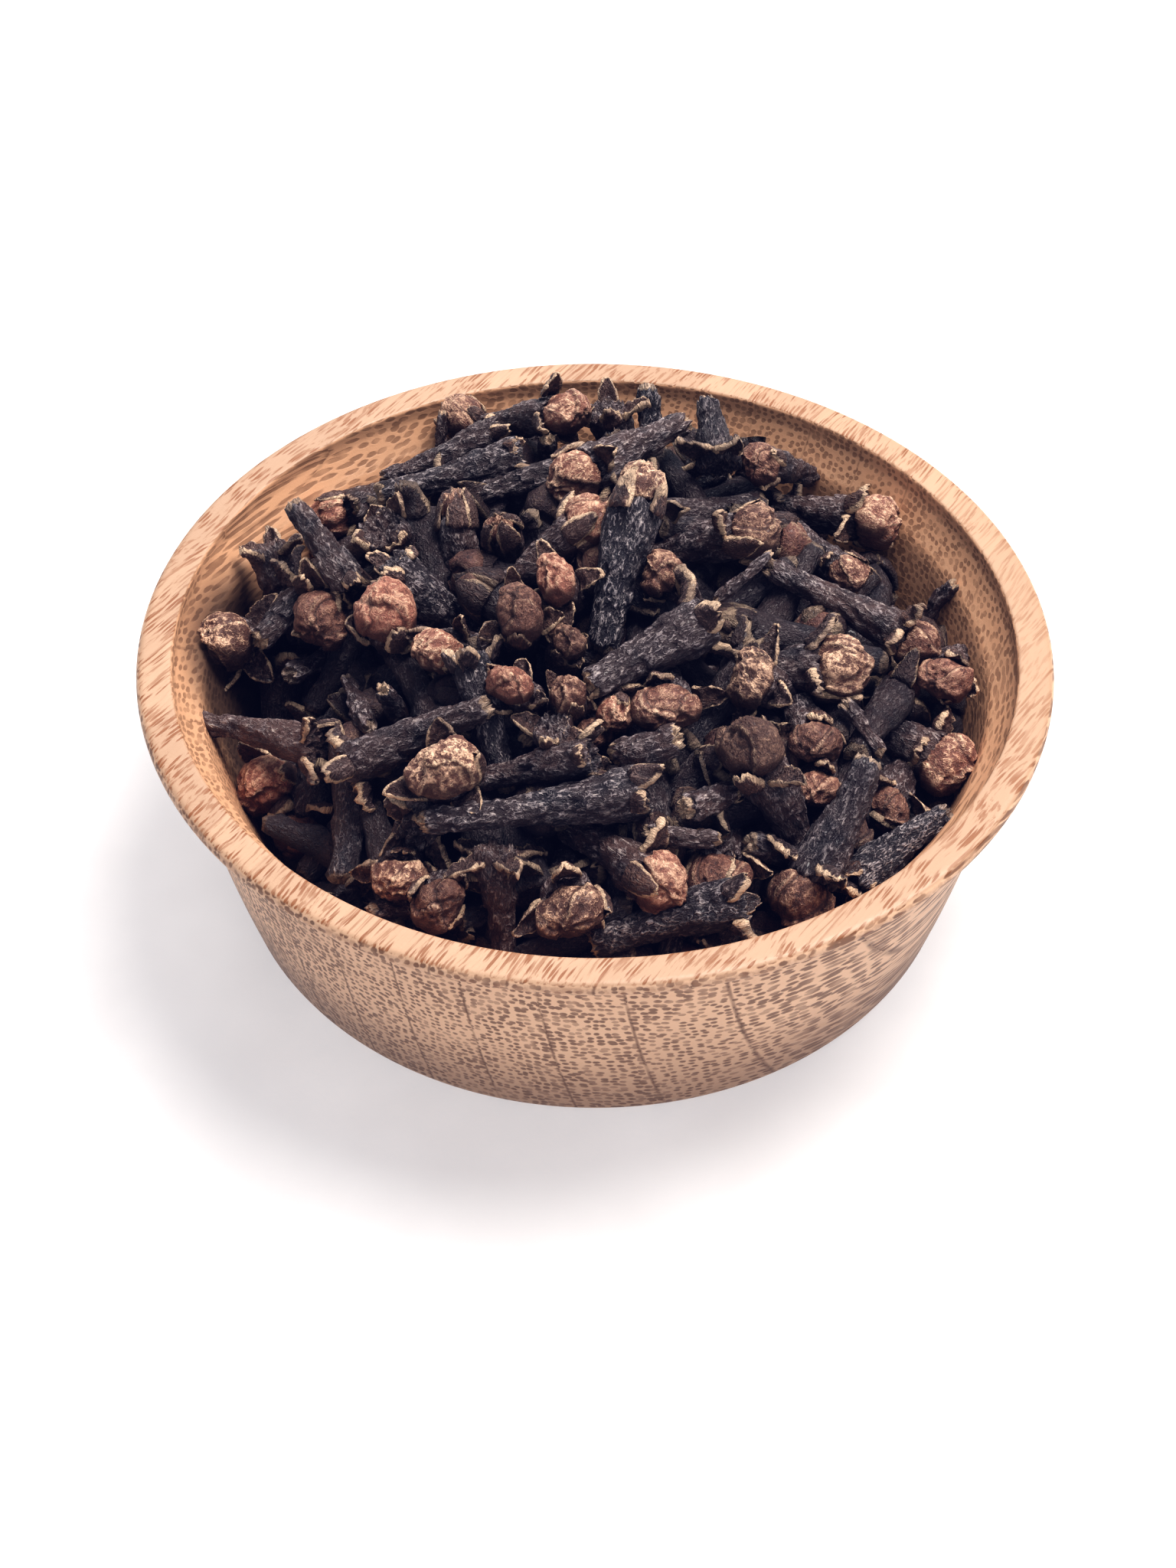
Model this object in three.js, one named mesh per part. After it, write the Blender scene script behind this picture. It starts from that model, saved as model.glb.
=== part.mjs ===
// A small bowl turned from laminated bamboo, heaped with whole dried cloves.
// Millimetres, +Z up. The origin is the centre of the flat foot, on the surface the bowl stands on.
import * as THREE from 'three';

// Bowl, driving sizes
const RIM_RADIUS = 36;
const BOWL_HEIGHT = 22.4;
const LIP_WIDTH = 2.85;
const LIP_THICKNESS = 1.1;
const LIP_TOP_ROUND = 0.7;
const LIP_UNDER_ROUND = 0.4;
const LIP_INNER_ROUND = 0.35;
const NECK_RADIUS = 33.3;
const COVE_HEIGHT = 1.4;
const FOOT_RADIUS = 29.8;
const FOOT_ROUND = 1.2;
const WALL_BULGE = 0.35;
const FOOT_EASE = FOOT_ROUND / 6;

// Inside of the bowl
const INNER_STEP = 1.1;
const SHOULDER_RADIUS = 31.3;
const SHOULDER_DEPTH = 3.6;
const BASE_WALL_RADIUS = 27.4;
const FLOOR_THICKNESS = 3;
const FLOOR_FILLET = 4;
const SHOULDER_EASE = 0.9;
const WALL_HOLLOW = 1.8;
const FILLET_EASE = 0.7;

// Heap of cloves
const CLEARANCE = 0.3;
const MOUND_RISE = 6.6;
const MOUND_EDGE_DROP = 6;
const MOUND_CENTRE = [1, 3];
const CLOVE_PITCH = 6.5;
const RIDGE_HEIGHT = 0.9;
const RIDGE_ANGLES = [0.3, 1.4, 2.4];
const RIDGE_PHASE = 5;
const EDGE_LOOKOUT = 1;
const EDGE_ABOVE_FILLET = 2;
const FILLET_RING = { inwards: 0.3, upwards: 0.22 };

// Cloves that stand out of the heap (height above zero) and gaps between them (below zero):
// [x, y, height, spread], in millimetres.
const LUMPS = [
  [3.5, 6, 5.2, 3.6],
  [8, 21, 5.4, 4.2],
  [-3, 23, 4.6, 5],
  [-14, 15, 2.4, 5],
  [20, 12, 2.6, 4],
  [17, -2, 2.4, 4],
  [-22, 8, 1.6, 5],
  [-10, -17, 1.6, 4.5],
  [10, -20, 1.4, 5],
  [-28, -3, -12, 7],
  [24, 19, -4.4, 7],
  [29, 4, -3.2, 5.5],
  [-21, 21, -2.6, 6],
];

// Fineness
const BOWL_SEGMENTS = 72;
const CURVE_STEPS = 4;
const HEAP_SECTORS = 60;
const HEAP_TOP_RINGS = 17;
const HEAP_WALL_RINGS = 3;

const FLOOR_EDGE_RADIUS = BASE_WALL_RADIUS - FLOOR_FILLET;
const FILLET_TOP = FLOOR_THICKNESS + FLOOR_FILLET;
const LIP_INNER_RADIUS = RIM_RADIUS - LIP_WIDTH;
const LIP_UNDERSIDE = BOWL_HEIGHT - LIP_THICKNESS;
const SHOULDER_Z = BOWL_HEIGHT - SHOULDER_DEPTH;
const WALL_MIDDLE_RADIUS = BASE_WALL_RADIUS + WALL_HOLLOW;
const WALL_MIDDLE_Z = (SHOULDER_Z + FILLET_TOP) / 2;

// The outside of the bowl, from the middle of the foot up to the inner edge of the lip.
function traceOutside(path) {
  const neckZ = LIP_UNDERSIDE - COVE_HEIGHT;
  const middleRadius = (FOOT_RADIUS + NECK_RADIUS) / 2 + 2 * WALL_BULGE;
  path.moveTo(0, 0);
  path.lineTo(FOOT_RADIUS - FOOT_ROUND, 0);
  path.quadraticCurveTo(FOOT_RADIUS - FOOT_EASE, 0, FOOT_RADIUS, FOOT_ROUND);
  path.quadraticCurveTo(middleRadius, (neckZ + FOOT_ROUND) / 2, NECK_RADIUS, neckZ);
  path.quadraticCurveTo(NECK_RADIUS, LIP_UNDERSIDE, RIM_RADIUS - LIP_UNDER_ROUND, LIP_UNDERSIDE);
  path.quadraticCurveTo(RIM_RADIUS, LIP_UNDERSIDE, RIM_RADIUS, LIP_UNDERSIDE + LIP_UNDER_ROUND);
  path.quadraticCurveTo(RIM_RADIUS, BOWL_HEIGHT, RIM_RADIUS - LIP_TOP_ROUND, BOWL_HEIGHT);
  path.lineTo(LIP_INNER_RADIUS + LIP_INNER_ROUND, BOWL_HEIGHT);
}

// The inside: a short upright step under the lip, a hollow shoulder, the wall and the floor.
function traceInside(path) {
  const stepZ = BOWL_HEIGHT - INNER_STEP;
  path.quadraticCurveTo(LIP_INNER_RADIUS, BOWL_HEIGHT, LIP_INNER_RADIUS, BOWL_HEIGHT - LIP_INNER_ROUND);
  path.lineTo(LIP_INNER_RADIUS, stepZ);
  path.quadraticCurveTo(LIP_INNER_RADIUS - SHOULDER_EASE, SHOULDER_Z + SHOULDER_EASE, SHOULDER_RADIUS, SHOULDER_Z);
  path.quadraticCurveTo(WALL_MIDDLE_RADIUS, WALL_MIDDLE_Z, BASE_WALL_RADIUS, FILLET_TOP);
  path.quadraticCurveTo(BASE_WALL_RADIUS - FILLET_EASE, FLOOR_THICKNESS, FLOOR_EDGE_RADIUS, FLOOR_THICKNESS);
  path.lineTo(0, FLOOR_THICKNESS);
}

function bowlGeometry() {
  const path = new THREE.Path();
  traceOutside(path);
  traceInside(path);
  const geometry = new THREE.LatheGeometry(path.getPoints(CURVE_STEPS), BOWL_SEGMENTS);
  return geometry.rotateX(Math.PI / 2);
}

// Radius of the bowl's inner wall at a height above its fillet.
function wallRadius(z) {
  const curve = new THREE.QuadraticBezierCurve(
    new THREE.Vector2(SHOULDER_RADIUS, SHOULDER_Z),
    new THREE.Vector2(WALL_MIDDLE_RADIUS, WALL_MIDDLE_Z),
    new THREE.Vector2(BASE_WALL_RADIUS, FILLET_TOP),
  );
  return curve.getPoint((SHOULDER_Z - z) / (SHOULDER_Z - FILLET_TOP)).x;
}

// Height of the top of the heap: a mound, crossed by clove-sized ridges, with lumps and gaps.
function heapTop(x, y) {
  const [centreX, centreY] = MOUND_CENTRE;
  const distance = Math.hypot(x - centreX, y - centreY) / LIP_INNER_RADIUS;
  let z = BOWL_HEIGHT + MOUND_RISE - (MOUND_RISE + MOUND_EDGE_DROP) * distance ** 2;
  const wave = (2 * Math.PI) / CLOVE_PITCH;
  for (const angle of RIDGE_ANGLES) {
    const along = x * Math.cos(angle) + y * Math.sin(angle);
    z += (RIDGE_HEIGHT / 2) * Math.sin(wave * along + RIDGE_PHASE * angle);
  }
  for (const [lumpX, lumpY, height, spread] of LUMPS) {
    z += height * Math.exp(-((x - lumpX) ** 2 + (y - lumpY) ** 2) / spread ** 2);
  }
  return z;
}

// Height at which the heap meets the wall in a direction, kept below the hollow shoulder.
function edgeHeight(angle) {
  const nearWall = BASE_WALL_RADIUS + EDGE_LOOKOUT;
  const z = heapTop(nearWall * Math.cos(angle), nearWall * Math.sin(angle));
  return THREE.MathUtils.clamp(z, FILLET_TOP + EDGE_ABOVE_FILLET, SHOULDER_Z);
}

// Rings of the heap from the floor out to the wall, up the wall, and back over the top.
function heapRings() {
  const floorZ = FLOOR_THICKNESS + CLEARANCE;
  const filletRadius = BASE_WALL_RADIUS - CLEARANCE;
  const rings = [
    () => [FLOOR_EDGE_RADIUS - CLEARANCE, floorZ],
    () => [filletRadius - FLOOR_FILLET * FILLET_RING.inwards, floorZ + FLOOR_FILLET * FILLET_RING.upwards],
    () => [filletRadius - CLEARANCE, FILLET_TOP],
  ];
  for (let step = 1; step <= HEAP_WALL_RINGS; step += 1) {
    rings.push((angle) => {
      const z = FILLET_TOP + (edgeHeight(angle) - FILLET_TOP) * (step / HEAP_WALL_RINGS);
      return [wallRadius(z) - CLEARANCE, z];
    });
  }
  for (let step = HEAP_TOP_RINGS - 1; step >= 1; step -= 1) {
    rings.push((angle) => {
      const radius = (wallRadius(edgeHeight(angle)) - CLEARANCE) * (step / HEAP_TOP_RINGS);
      return [radius, heapTop(radius * Math.cos(angle), radius * Math.sin(angle))];
    });
  }
  return rings;
}

// A closed skin of rings between a bottom pole and a top pole on the axis.
function ringSolid(rings, sectors, bottomZ, topZ) {
  const positions = [0, 0, bottomZ];
  for (const ring of rings) {
    for (let sector = 0; sector < sectors; sector += 1) {
      const angle = (2 * Math.PI * sector) / sectors;
      const [radius, z] = ring(angle);
      positions.push(radius * Math.cos(angle), radius * Math.sin(angle), z);
    }
  }
  positions.push(0, 0, topZ);
  const topPole = 1 + rings.length * sectors;
  const indices = [];
  for (let sector = 0; sector < sectors; sector += 1) {
    const next = (sector + 1) % sectors;
    indices.push(0, 1 + next, 1 + sector);
    for (let row = 0; row + 1 < rings.length; row += 1) {
      const low = 1 + row * sectors;
      const high = low + sectors;
      indices.push(low + sector, low + next, high + next);
      indices.push(low + sector, high + next, high + sector);
    }
    const last = 1 + (rings.length - 1) * sectors;
    indices.push(last + sector, last + next, topPole);
  }
  const geometry = new THREE.BufferGeometry();
  geometry.setAttribute('position', new THREE.Float32BufferAttribute(positions, 3));
  geometry.setIndex(indices);
  geometry.computeVertexNormals();
  return geometry;
}

function heapGeometry() {
  return ringSolid(heapRings(), HEAP_SECTORS, FLOOR_THICKNESS + CLEARANCE, heapTop(0, 0));
}

function namedMesh(name, geometry, material) {
  const mesh = new THREE.Mesh(geometry, material);
  mesh.name = name;
  return mesh;
}

const bamboo = new THREE.MeshStandardMaterial({ color: 0xcfa376, roughness: 0.6, metalness: 0 });
const cloveBrown = new THREE.MeshStandardMaterial({ color: 0x3b2a26, roughness: 0.85, metalness: 0 });

const bowlOfCloves = new THREE.Group();
bowlOfCloves.add(namedMesh('bowl', bowlGeometry(), bamboo));
bowlOfCloves.add(namedMesh('clove_heap', heapGeometry(), cloveBrown));

export default bowlOfCloves;
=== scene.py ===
"""A small turned bamboo bowl heaped with whole dried cloves, built around its packed frame.

Laid out as an add-on: the sizes and colours are properties, each group of like pieces is an
operator, and a panel in the 3D view's sidebar lists them. Run as a script, it makes everything.
"""

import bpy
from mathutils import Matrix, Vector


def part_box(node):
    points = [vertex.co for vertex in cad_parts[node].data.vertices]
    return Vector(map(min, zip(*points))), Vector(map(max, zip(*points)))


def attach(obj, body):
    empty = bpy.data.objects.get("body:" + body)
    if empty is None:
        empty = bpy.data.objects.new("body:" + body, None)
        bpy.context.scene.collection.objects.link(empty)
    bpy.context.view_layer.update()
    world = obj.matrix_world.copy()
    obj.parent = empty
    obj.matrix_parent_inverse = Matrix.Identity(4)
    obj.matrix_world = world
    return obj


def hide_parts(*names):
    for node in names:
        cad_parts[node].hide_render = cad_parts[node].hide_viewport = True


bl_info = {
    "name": "Bowl of whole cloves",
    "version": (1, 0, 0),
    "blender": (4, 5, 0),
    "location": "View3D > Sidebar > Cloves",
    "description": "Models a bamboo bowl, the cloves heaped in it and a plain studio stage",
    "category": "Object",
}

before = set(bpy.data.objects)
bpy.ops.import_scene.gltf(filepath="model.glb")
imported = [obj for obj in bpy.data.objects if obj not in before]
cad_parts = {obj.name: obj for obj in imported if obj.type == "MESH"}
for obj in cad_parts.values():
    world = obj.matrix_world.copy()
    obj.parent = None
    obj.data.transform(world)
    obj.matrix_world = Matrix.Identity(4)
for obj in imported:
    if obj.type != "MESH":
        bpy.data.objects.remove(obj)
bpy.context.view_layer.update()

import math
import random
from typing import NamedTuple

import bmesh
import bpy
import numpy as np
from bpy.props import FloatProperty, FloatVectorProperty, IntProperty
from mathutils import Matrix, Vector
from mathutils.bvhtree import BVHTree

MM = 0.001
BODY = "root"

RIM_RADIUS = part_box("bowl")[1].x
BOWL_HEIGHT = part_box("bowl")[1].z
HEAP_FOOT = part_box("clove_heap")[0].z
HEAP_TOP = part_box("clove_heap")[1].z


# ---------------------------------------------------------------- settings


def size_setting(name, description, millimetres):
    return FloatProperty(name=name, description=description, default=millimetres * MM, unit="LENGTH")


def angle_setting(name, description, radians):
    return FloatProperty(name=name, description=description, default=radians, subtype="ANGLE")


def number_setting(name, description, number, unit="NONE"):
    return FloatProperty(name=name, description=description, default=number, unit=unit)


def colour_setting(name, description, colour):
    return FloatVectorProperty(
        name=name, description=description, default=colour, size=3, subtype="COLOR", min=0, max=1,
        precision=4)


class BowlSettings(bpy.types.PropertyGroup):
    """Sizes and colours of the bowl."""

    lip_width: size_setting("Lip width", "How far the flat lip reaches in from the rim", 2.85)
    lip_thickness: size_setting("Lip thickness", "Height of the lip's outer edge", 1.1)
    neck_radius: size_setting("Neck radius", "Outer radius of the wall just under the lip", 33.3)
    foot_radius: size_setting("Foot radius", "Radius of the flat foot", 29.8)
    shoulder_radius: size_setting("Shoulder radius", "Inner radius under the lip's hollow", 31.3)
    base_wall_radius: size_setting("Base wall radius", "Inner radius at the bottom of the wall", 27.4)
    floor_thickness: size_setting("Floor thickness", "Thickness of the bowl's floor", 3.0)
    grain_angle: angle_setting("Grain angle", "Turn of the fibres round the vertical axis", math.radians(55))
    strip_width: size_setting("Strip width", "Width of the glued strips", 5.3)
    pale_colour: colour_setting("Pale bamboo", "Ground tissue between the fibres", (0.640, 0.425, 0.290))
    fibre_colour: colour_setting("Fibre bundles", "Brown dots and dashes", (0.135, 0.062, 0.032))
    streak_colour: colour_setting("Lip streaks", "Bundles cut lengthwise on the lip", (0.300, 0.128, 0.056))


class CloveSettings(bpy.types.PropertyGroup):
    """Sizes, numbers and colours of the cloves."""

    buried: IntProperty(
        name="Buried cloves", description="Cloves packed under the ones that show", default=120, min=0)
    lump_depth: size_setting("Lump depth", "Height of the broad lumps in the dried stems and buds", 0.80)
    wrinkle_depth: size_setting("Wrinkle depth", "Height of the lengthwise wrinkles in the dried skin", 0.52)
    stem_colour: colour_setting("Stem", "Near-black brown of the stems", (0.0168, 0.0154, 0.0228))
    # Worn skin and dust also carry painted light: they cover more of the faces that look up
    worn_and_lit_colour: colour_setting("Worn skin", "Dull grey brown of raised wrinkles", (0.400, 0.346, 0.362))
    warm_colour: colour_setting("Warm skin", "Reddish brown patches on some stems", (0.190, 0.105, 0.085))
    dust_and_lit_colour: colour_setting("Dust", "Pale specks on the stems' ridges", (0.74, 0.63, 0.56))
    lobe_colour: colour_setting("Lobes", "Brown of the calyx lobes", (0.165, 0.082, 0.056))
    # Bud grooves: painted shade in the grooves, in the folds under petals' edges and on undersides
    groove_shade_colour: colour_setting("Bud grooves", "Dark brown between a bud's petals", (0.036, 0.018, 0.017))
    edge_colour: colour_setting("Lobe edges", "Tan of thin edges and cut ends", (0.78, 0.56, 0.400))
    brown_bud: colour_setting("Brown bud", "Darkest buds", (0.125, 0.064, 0.049))
    red_bud: colour_setting("Red bud", "Reddest buds", (0.500, 0.212, 0.148))
    tan_bud: colour_setting("Tan bud", "Palest buds", (0.95, 0.630, 0.450))


class StageSettings(bpy.types.PropertyGroup):
    """Camera and light."""

    elevation: angle_setting("Camera elevation", "How far the camera looks down", math.radians(45.49))
    distance: size_setting("Camera distance", "From the camera to the rim's middle, along the view", 218.25)
    rim_right: size_setting("Rim right", "How far right of the picture's middle the rim's middle lies", 0.53)
    rim_up: size_setting("Rim up", "How far above the picture's middle the rim's middle lies", 11.51)
    roll: angle_setting("Camera roll", "Turn of the camera about its view", -0.003)
    lens: number_setting("Lens", "Focal length with a 36 mm sensor along the longer side", 63.6, "CAMERA")
    key_power: number_setting("Key light", "Power of the large light above", 4.4, "POWER")
    fill_power: number_setting("Back light", "Power of the light behind the bowl", 0.85, "POWER")
    front_power: number_setting("Front light", "Power of the low light in front of the bowl", 0.50, "POWER")
    black_tint: colour_setting("Black tint", "Colour of the blackest shadows", (0.0035, 0.0050, 0.0170))
    sky: number_setting("Sky", "Strength of the even light from all round", 0.30)


GROUPS = {
    "bowl_settings": BowlSettings,
    "clove_settings": CloveSettings,
    "stage_settings": StageSettings,
}


# ---------------------------------------------------------------- modelling helpers


def deselect_all():
    if bpy.context.object and bpy.context.object.mode != "OBJECT":
        bpy.ops.object.mode_set(mode="OBJECT")
    bpy.ops.object.select_all(action="DESELECT")


def activate(piece):
    deselect_all()
    piece.select_set(True)
    bpy.context.view_layer.objects.active = piece


def start_editing(piece, action="DESELECT"):
    activate(piece)
    bpy.ops.object.mode_set(mode="EDIT")
    bpy.ops.mesh.select_mode(type="VERT")
    bpy.ops.mesh.select_all(action=action)


def stop_editing():
    bpy.ops.object.mode_set(mode="OBJECT")


def pick_points(piece, wanted):
    """Selects the points whose place passes the test, with the faces between them."""
    shape = bmesh.from_edit_mesh(piece.data)
    for vertex in shape.verts:
        vertex.select = bool(wanted(vertex.co))
    shape.select_flush_mode()
    bmesh.update_edit_mesh(piece.data)


def pick_faces(piece, wanted):
    """Selects the faces whose middle passes the test."""
    bpy.ops.mesh.select_mode(type="FACE")
    shape = bmesh.from_edit_mesh(piece.data)
    for face in shape.faces:
        face.select_set(bool(wanted(face.calc_center_median())))
    bmesh.update_edit_mesh(piece.data)


def face_outwards(piece):
    start_editing(piece, "SELECT")
    bpy.ops.mesh.normals_make_consistent(inside=False)
    stop_editing()


def settle_place(piece):
    """Moves the object's place, turn and size into its mesh."""
    activate(piece)
    bpy.ops.object.transform_apply(location=True, rotation=True, scale=True)


def apply_modifier(piece, kind, **settings):
    activate(piece)
    modifier = piece.modifiers.new(kind.title(), kind)
    for name, value in settings.items():
        setattr(modifier, name, value)
    bpy.ops.object.modifier_apply(modifier=modifier.name)


def renamed(piece, name):
    piece.name = name
    piece.data.name = name
    return piece


def joined(name, pieces):
    """Joins the pieces into one object with its own mesh."""
    activate(pieces[0])
    for piece in pieces:
        piece.select_set(True)
    if len(pieces) > 1:
        bpy.ops.object.join()
    return renamed(pieces[0], name)


def draw_up(piece, rows):
    """Extrudes all of a flat start by each row's move and resizes it there, then turns the faces outwards."""
    start_editing(piece, "SELECT")
    for move, middle, share in rows:
        bpy.ops.mesh.extrude_region_move(TRANSFORM_OT_translate={"value": move})
        bpy.ops.transform.resize(value=share, center_override=middle)
    stop_editing()
    face_outwards(piece)


def turned(name, outline, sides):
    """A closed turned shape, drawn up, in and out through an outline of (radius, height, sideways)."""
    radius, height, sideways = outline[0]
    deselect_all()
    bpy.ops.mesh.primitive_circle_add(
        vertices=sides, radius=radius, fill_type="NGON", location=(sideways, 0, height))
    piece = bpy.context.object
    settle_place(piece)
    rows = []
    for (radius, height, sideways), (wider, higher, further) in zip(outline, outline[1:]):
        share = wider / radius
        rows.append(((further - sideways, 0, higher - height), (further, 0, higher), (share, share, 1)))
    draw_up(piece, rows)
    return renamed(piece, name)


def curve(start, corner, end, steps):
    """Points of a quadratic curve after its start, as (radius, height, sideways)."""
    points = []
    for t in (step / steps for step in range(1, steps + 1)):
        a, b, c = (1 - t) ** 2, 2 * t * (1 - t), t * t
        radius, height = (a * start[n] + b * corner[n] + c * end[n] for n in (0, 1))
        points.append((radius, height, 0))
    return points


def mark(piece, group, weight_at):
    """Gives the points of a piece a weight in a named group, worked out from their place."""
    made = piece.vertex_groups.get(group) or piece.vertex_groups.new(name=group)
    for vertex in piece.data.vertices:
        weight = weight_at(vertex.co)
        if weight > 0:
            made.add([vertex.index], min(weight, 1.0), "REPLACE")


# ---------------------------------------------------------------- material helpers


class Flow:
    """A node's output. Adding, taking away and multiplying flows adds the Math nodes for it."""

    def __init__(self, socket):
        self.socket = socket
        self.tree = socket.id_data

    def __add__(self, other):
        return maths("ADD", self, other)

    def __sub__(self, other):
        return maths("SUBTRACT", self, other)

    def __rsub__(self, other):
        return maths("SUBTRACT", other, self)

    def __mul__(self, other):
        return maths("MULTIPLY", self, other)

    def clamped(self):
        self.socket.node.use_clamp = True
        return self


def node(tree, kind, inputs, output=0, **settings):
    """Adds a node and gives one of its outputs. An input given as a Flow is linked, and any other is set."""
    made = tree.nodes.new("ShaderNode" + kind)
    for name, value in settings.items():
        setattr(made, name, value)
    for name, value in inputs.items():
        if isinstance(value, Flow):
            tree.links.new(value.socket, made.inputs[name])
        else:
            made.inputs[name].default_value = value
    return Flow(made.outputs[output])


def tree_of(values):
    return next(value.tree for value in values if isinstance(value, Flow))


def maths(operation, *values):
    return node(tree_of(values), "Math", dict(enumerate(values)), operation=operation)


def vectors(operation, first, second=(0, 0, 0), output=0):
    return node(first.tree, "VectorMath", {0: first, 1: second}, output, operation=operation)


def stretched(place, scale):
    return vectors("MULTIPLY", place, scale)


def vector(*parts):
    return node(tree_of(parts), "CombineXYZ", dict(enumerate(parts)))


def split(place):
    """The x, y and z of a vector."""
    return [Flow(socket) for socket in node(place.tree, "SeparateXYZ", {0: place}).socket.node.outputs]


def ramp(value, low, high, to_low=0.0, to_high=1.0):
    """A smooth step of a value from low to high."""
    limits = {"Value": value, "From Min": low, "From Max": high, "To Min": to_low, "To Max": to_high}
    return node(value.tree, "MapRange", limits, interpolation_type="SMOOTHSTEP")


def mixed(share, first, second):
    return node(share.tree, "Mix", {0: share, 6: first, 7: second}, 2, data_type="RGBA")


def noise(place, scale, detail=2.0, roughness=0.5, output="Fac"):
    inputs = {"Vector": place, "Scale": scale, "Detail": detail, "Roughness": roughness}
    return node(place.tree, "TexNoise", inputs, output)


def swayed(place, scale, detail, reach):
    """Moves a pattern's places about, by up to half of reach each way."""
    wave = vectors("SUBTRACT", noise(place, scale, detail, output="Color"), (0.5, 0.5, 0.5))
    return vectors("ADD", place, stretched(wave, reach))


def read(tree, attribute, output="Fac"):
    return node(tree, "Attribute", {}, output, attribute_name=attribute)


def own_millimetres(tree):
    return stretched(node(tree, "TexCoord", {}, "Object"), (1 / MM, 1 / MM, 1 / MM))


def painted_top_light(tree):
    """How far a face looks up, for painted light: faces that look up are painted lighter, partly as dust and
    wear, and undersides darker as painted shade.
    """
    return ramp(split(node(tree, "TexCoord", {}, "Normal"))[2], -0.3, 0.85)


def opaque(colour, shares=(1.0, 1.0, 1.0)):
    return (*(value * share for value, share in zip(colour, shares)), 1.0)


def new_material(name):
    material = bpy.data.materials.new(name)
    material.use_nodes = True
    material.node_tree.nodes.clear()
    return material, material.node_tree


def finished(material, surface, height, strength, depth):
    """Adds the shader, with a bump whose depth is in millimetres, and gives the material."""
    tree = material.node_tree
    bump = node(tree, "Bump", {"Height": height, "Strength": strength, "Distance": depth * MM})
    shader = node(tree, "BsdfPrincipled", {**surface, "Normal": bump})
    tree.links.new(shader.socket, tree.nodes.new("ShaderNodeOutputMaterial").inputs[0])
    return material


def new_group(name, inputs):
    """Starts a node group with a vector Place and named values. Gives the group and its inputs."""
    tree = bpy.data.node_groups.new(name, "ShaderNodeTree")
    tree.interface.new_socket("Place", in_out="INPUT", socket_type="NodeSocketVector")
    for socket in inputs:
        tree.interface.new_socket(socket, in_out="INPUT", socket_type="NodeSocketFloat")
    start = tree.nodes.new("NodeGroupInput")
    return tree, [Flow(start.outputs[name]) for name in ("Place", *inputs)]


def close_group(tree, outputs):
    for name in outputs:
        tree.interface.new_socket(name, in_out="OUTPUT", socket_type="NodeSocketFloat")
    end = tree.nodes.new("NodeGroupOutput")
    for name, value in outputs.items():
        tree.links.new(value.socket, end.inputs[name])
    return tree


def place_group(tree, group, inputs):
    """Places a group and gives its outputs by name."""
    outputs = node(tree, "Group", inputs, node_tree=group).socket.node.outputs
    return {socket.name: Flow(socket) for socket in outputs}


# ---------------------------------------------------------------- bowl


CLEAR_MIDDLE = (35.0, 3.0, 22.4)
CLEAR_REACH = (6.0, 24.0)
# Painted shadow: a dark patch low on the left of the inner wall, where the cloves cast their shadow
PAINTED_SHADOW_MIDDLE = (-28.5, 4.0, 11.5)
PAINTED_SHADOW_REACH = (7.5, 13.0)
PAINTED_SHADOW_COLOUR = (0.030, 0.020, 0.018, 1.0)
DEEP_SHARES = (0.70, 0.67, 0.66)
OUTER_SHARES = (1.14, 1.14, 1.14)
# The inner wall's warm tint is painted bounce light
INNER_SHARES = (1.17, 1.03, 0.93)


def bundle_mask(cells, size, ragged, **settings):
    """Cut fibre bundles: one spot with a ragged edge in each cell."""
    spot = {"Vector": cells, "Scale": 1.0, "Randomness": 0.62}
    distance = node(cells.tree, "TexVoronoi", spot, "Distance", **settings)
    return ramp(ragged * 0.24 + (distance - 0.12), size, size + 0.16, 1.0, 0.0)


def bamboo_grain():
    """Fibre bundles, glued strips and seams of laminated bamboo, from a place in millimetres."""
    tree, (place, angle, strip_width, facing) = new_group("Bamboo grain", ("Angle", "Strip width", "Level"))
    place = node(tree, "VectorRotate", {"Vector": place, "Angle": angle * -1.0}, rotation_type="Z_AXIS")
    straight = split(place)
    bent = swayed(place, 0.11, 1.0, (0.0, 1.6, 1.6))
    x, y, z = split(bent)
    strip = maths("DIVIDE", straight[2] * -0.03 + straight[1], strip_width)
    tone = node(tree, "TexWhiteNoise", {"W": maths("FLOOR", strip)}, "Value", noise_dimensions="1D")
    from_middle = maths("ABSOLUTE", maths("FRACT", strip) - 0.5)
    seams = ramp(from_middle, 0.470, 0.497) * ramp(noise(bent, 0.35), 0.34, 0.56, 0.35, 1.0)
    risen = tone * 37.0 + (x * (tone * 0.10 + 0.06) + z)
    along = vector(x, y, risen)
    size = ramp(noise(stretched(along, (0.35, 1.0, 1.0)), 0.22, 1.0), 0.3, 0.7, 0.23, 0.35)
    ragged = noise(stretched(along, (1.1, 5.0, 5.0)), 1.0)
    on_walls = bundle_mask(vector(y * 1.65, risen * 1.95, 0.0), size, ragged, voronoi_dimensions="2D")
    on_lip = bundle_mask(stretched(along, (0.25, 3.1, 2.0)), size - 0.03, ragged)
    bundles = node(tree, "Mix", {0: ramp(facing, 0.6, 0.85), 2: on_walls, 3: on_lip}, data_type="FLOAT")
    bundles = bundles * ramp(noise(stretched(along, (0.8, 1.2, 1.2)), 0.6, 1.0), 0.3, 0.60, 0.50, 1.0)
    streaks = noise(stretched(along, (0.12, 3.2, 3.2)), 1.0, 3.0, 0.6)
    height = seams * -0.35 + (bundles * -0.45 + streaks * 0.35)
    return close_group(
        tree, {"Bundles": bundles, "Strip tone": tone, "Seams": seams, "Streaks": streaks, "Height": height})


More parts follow.
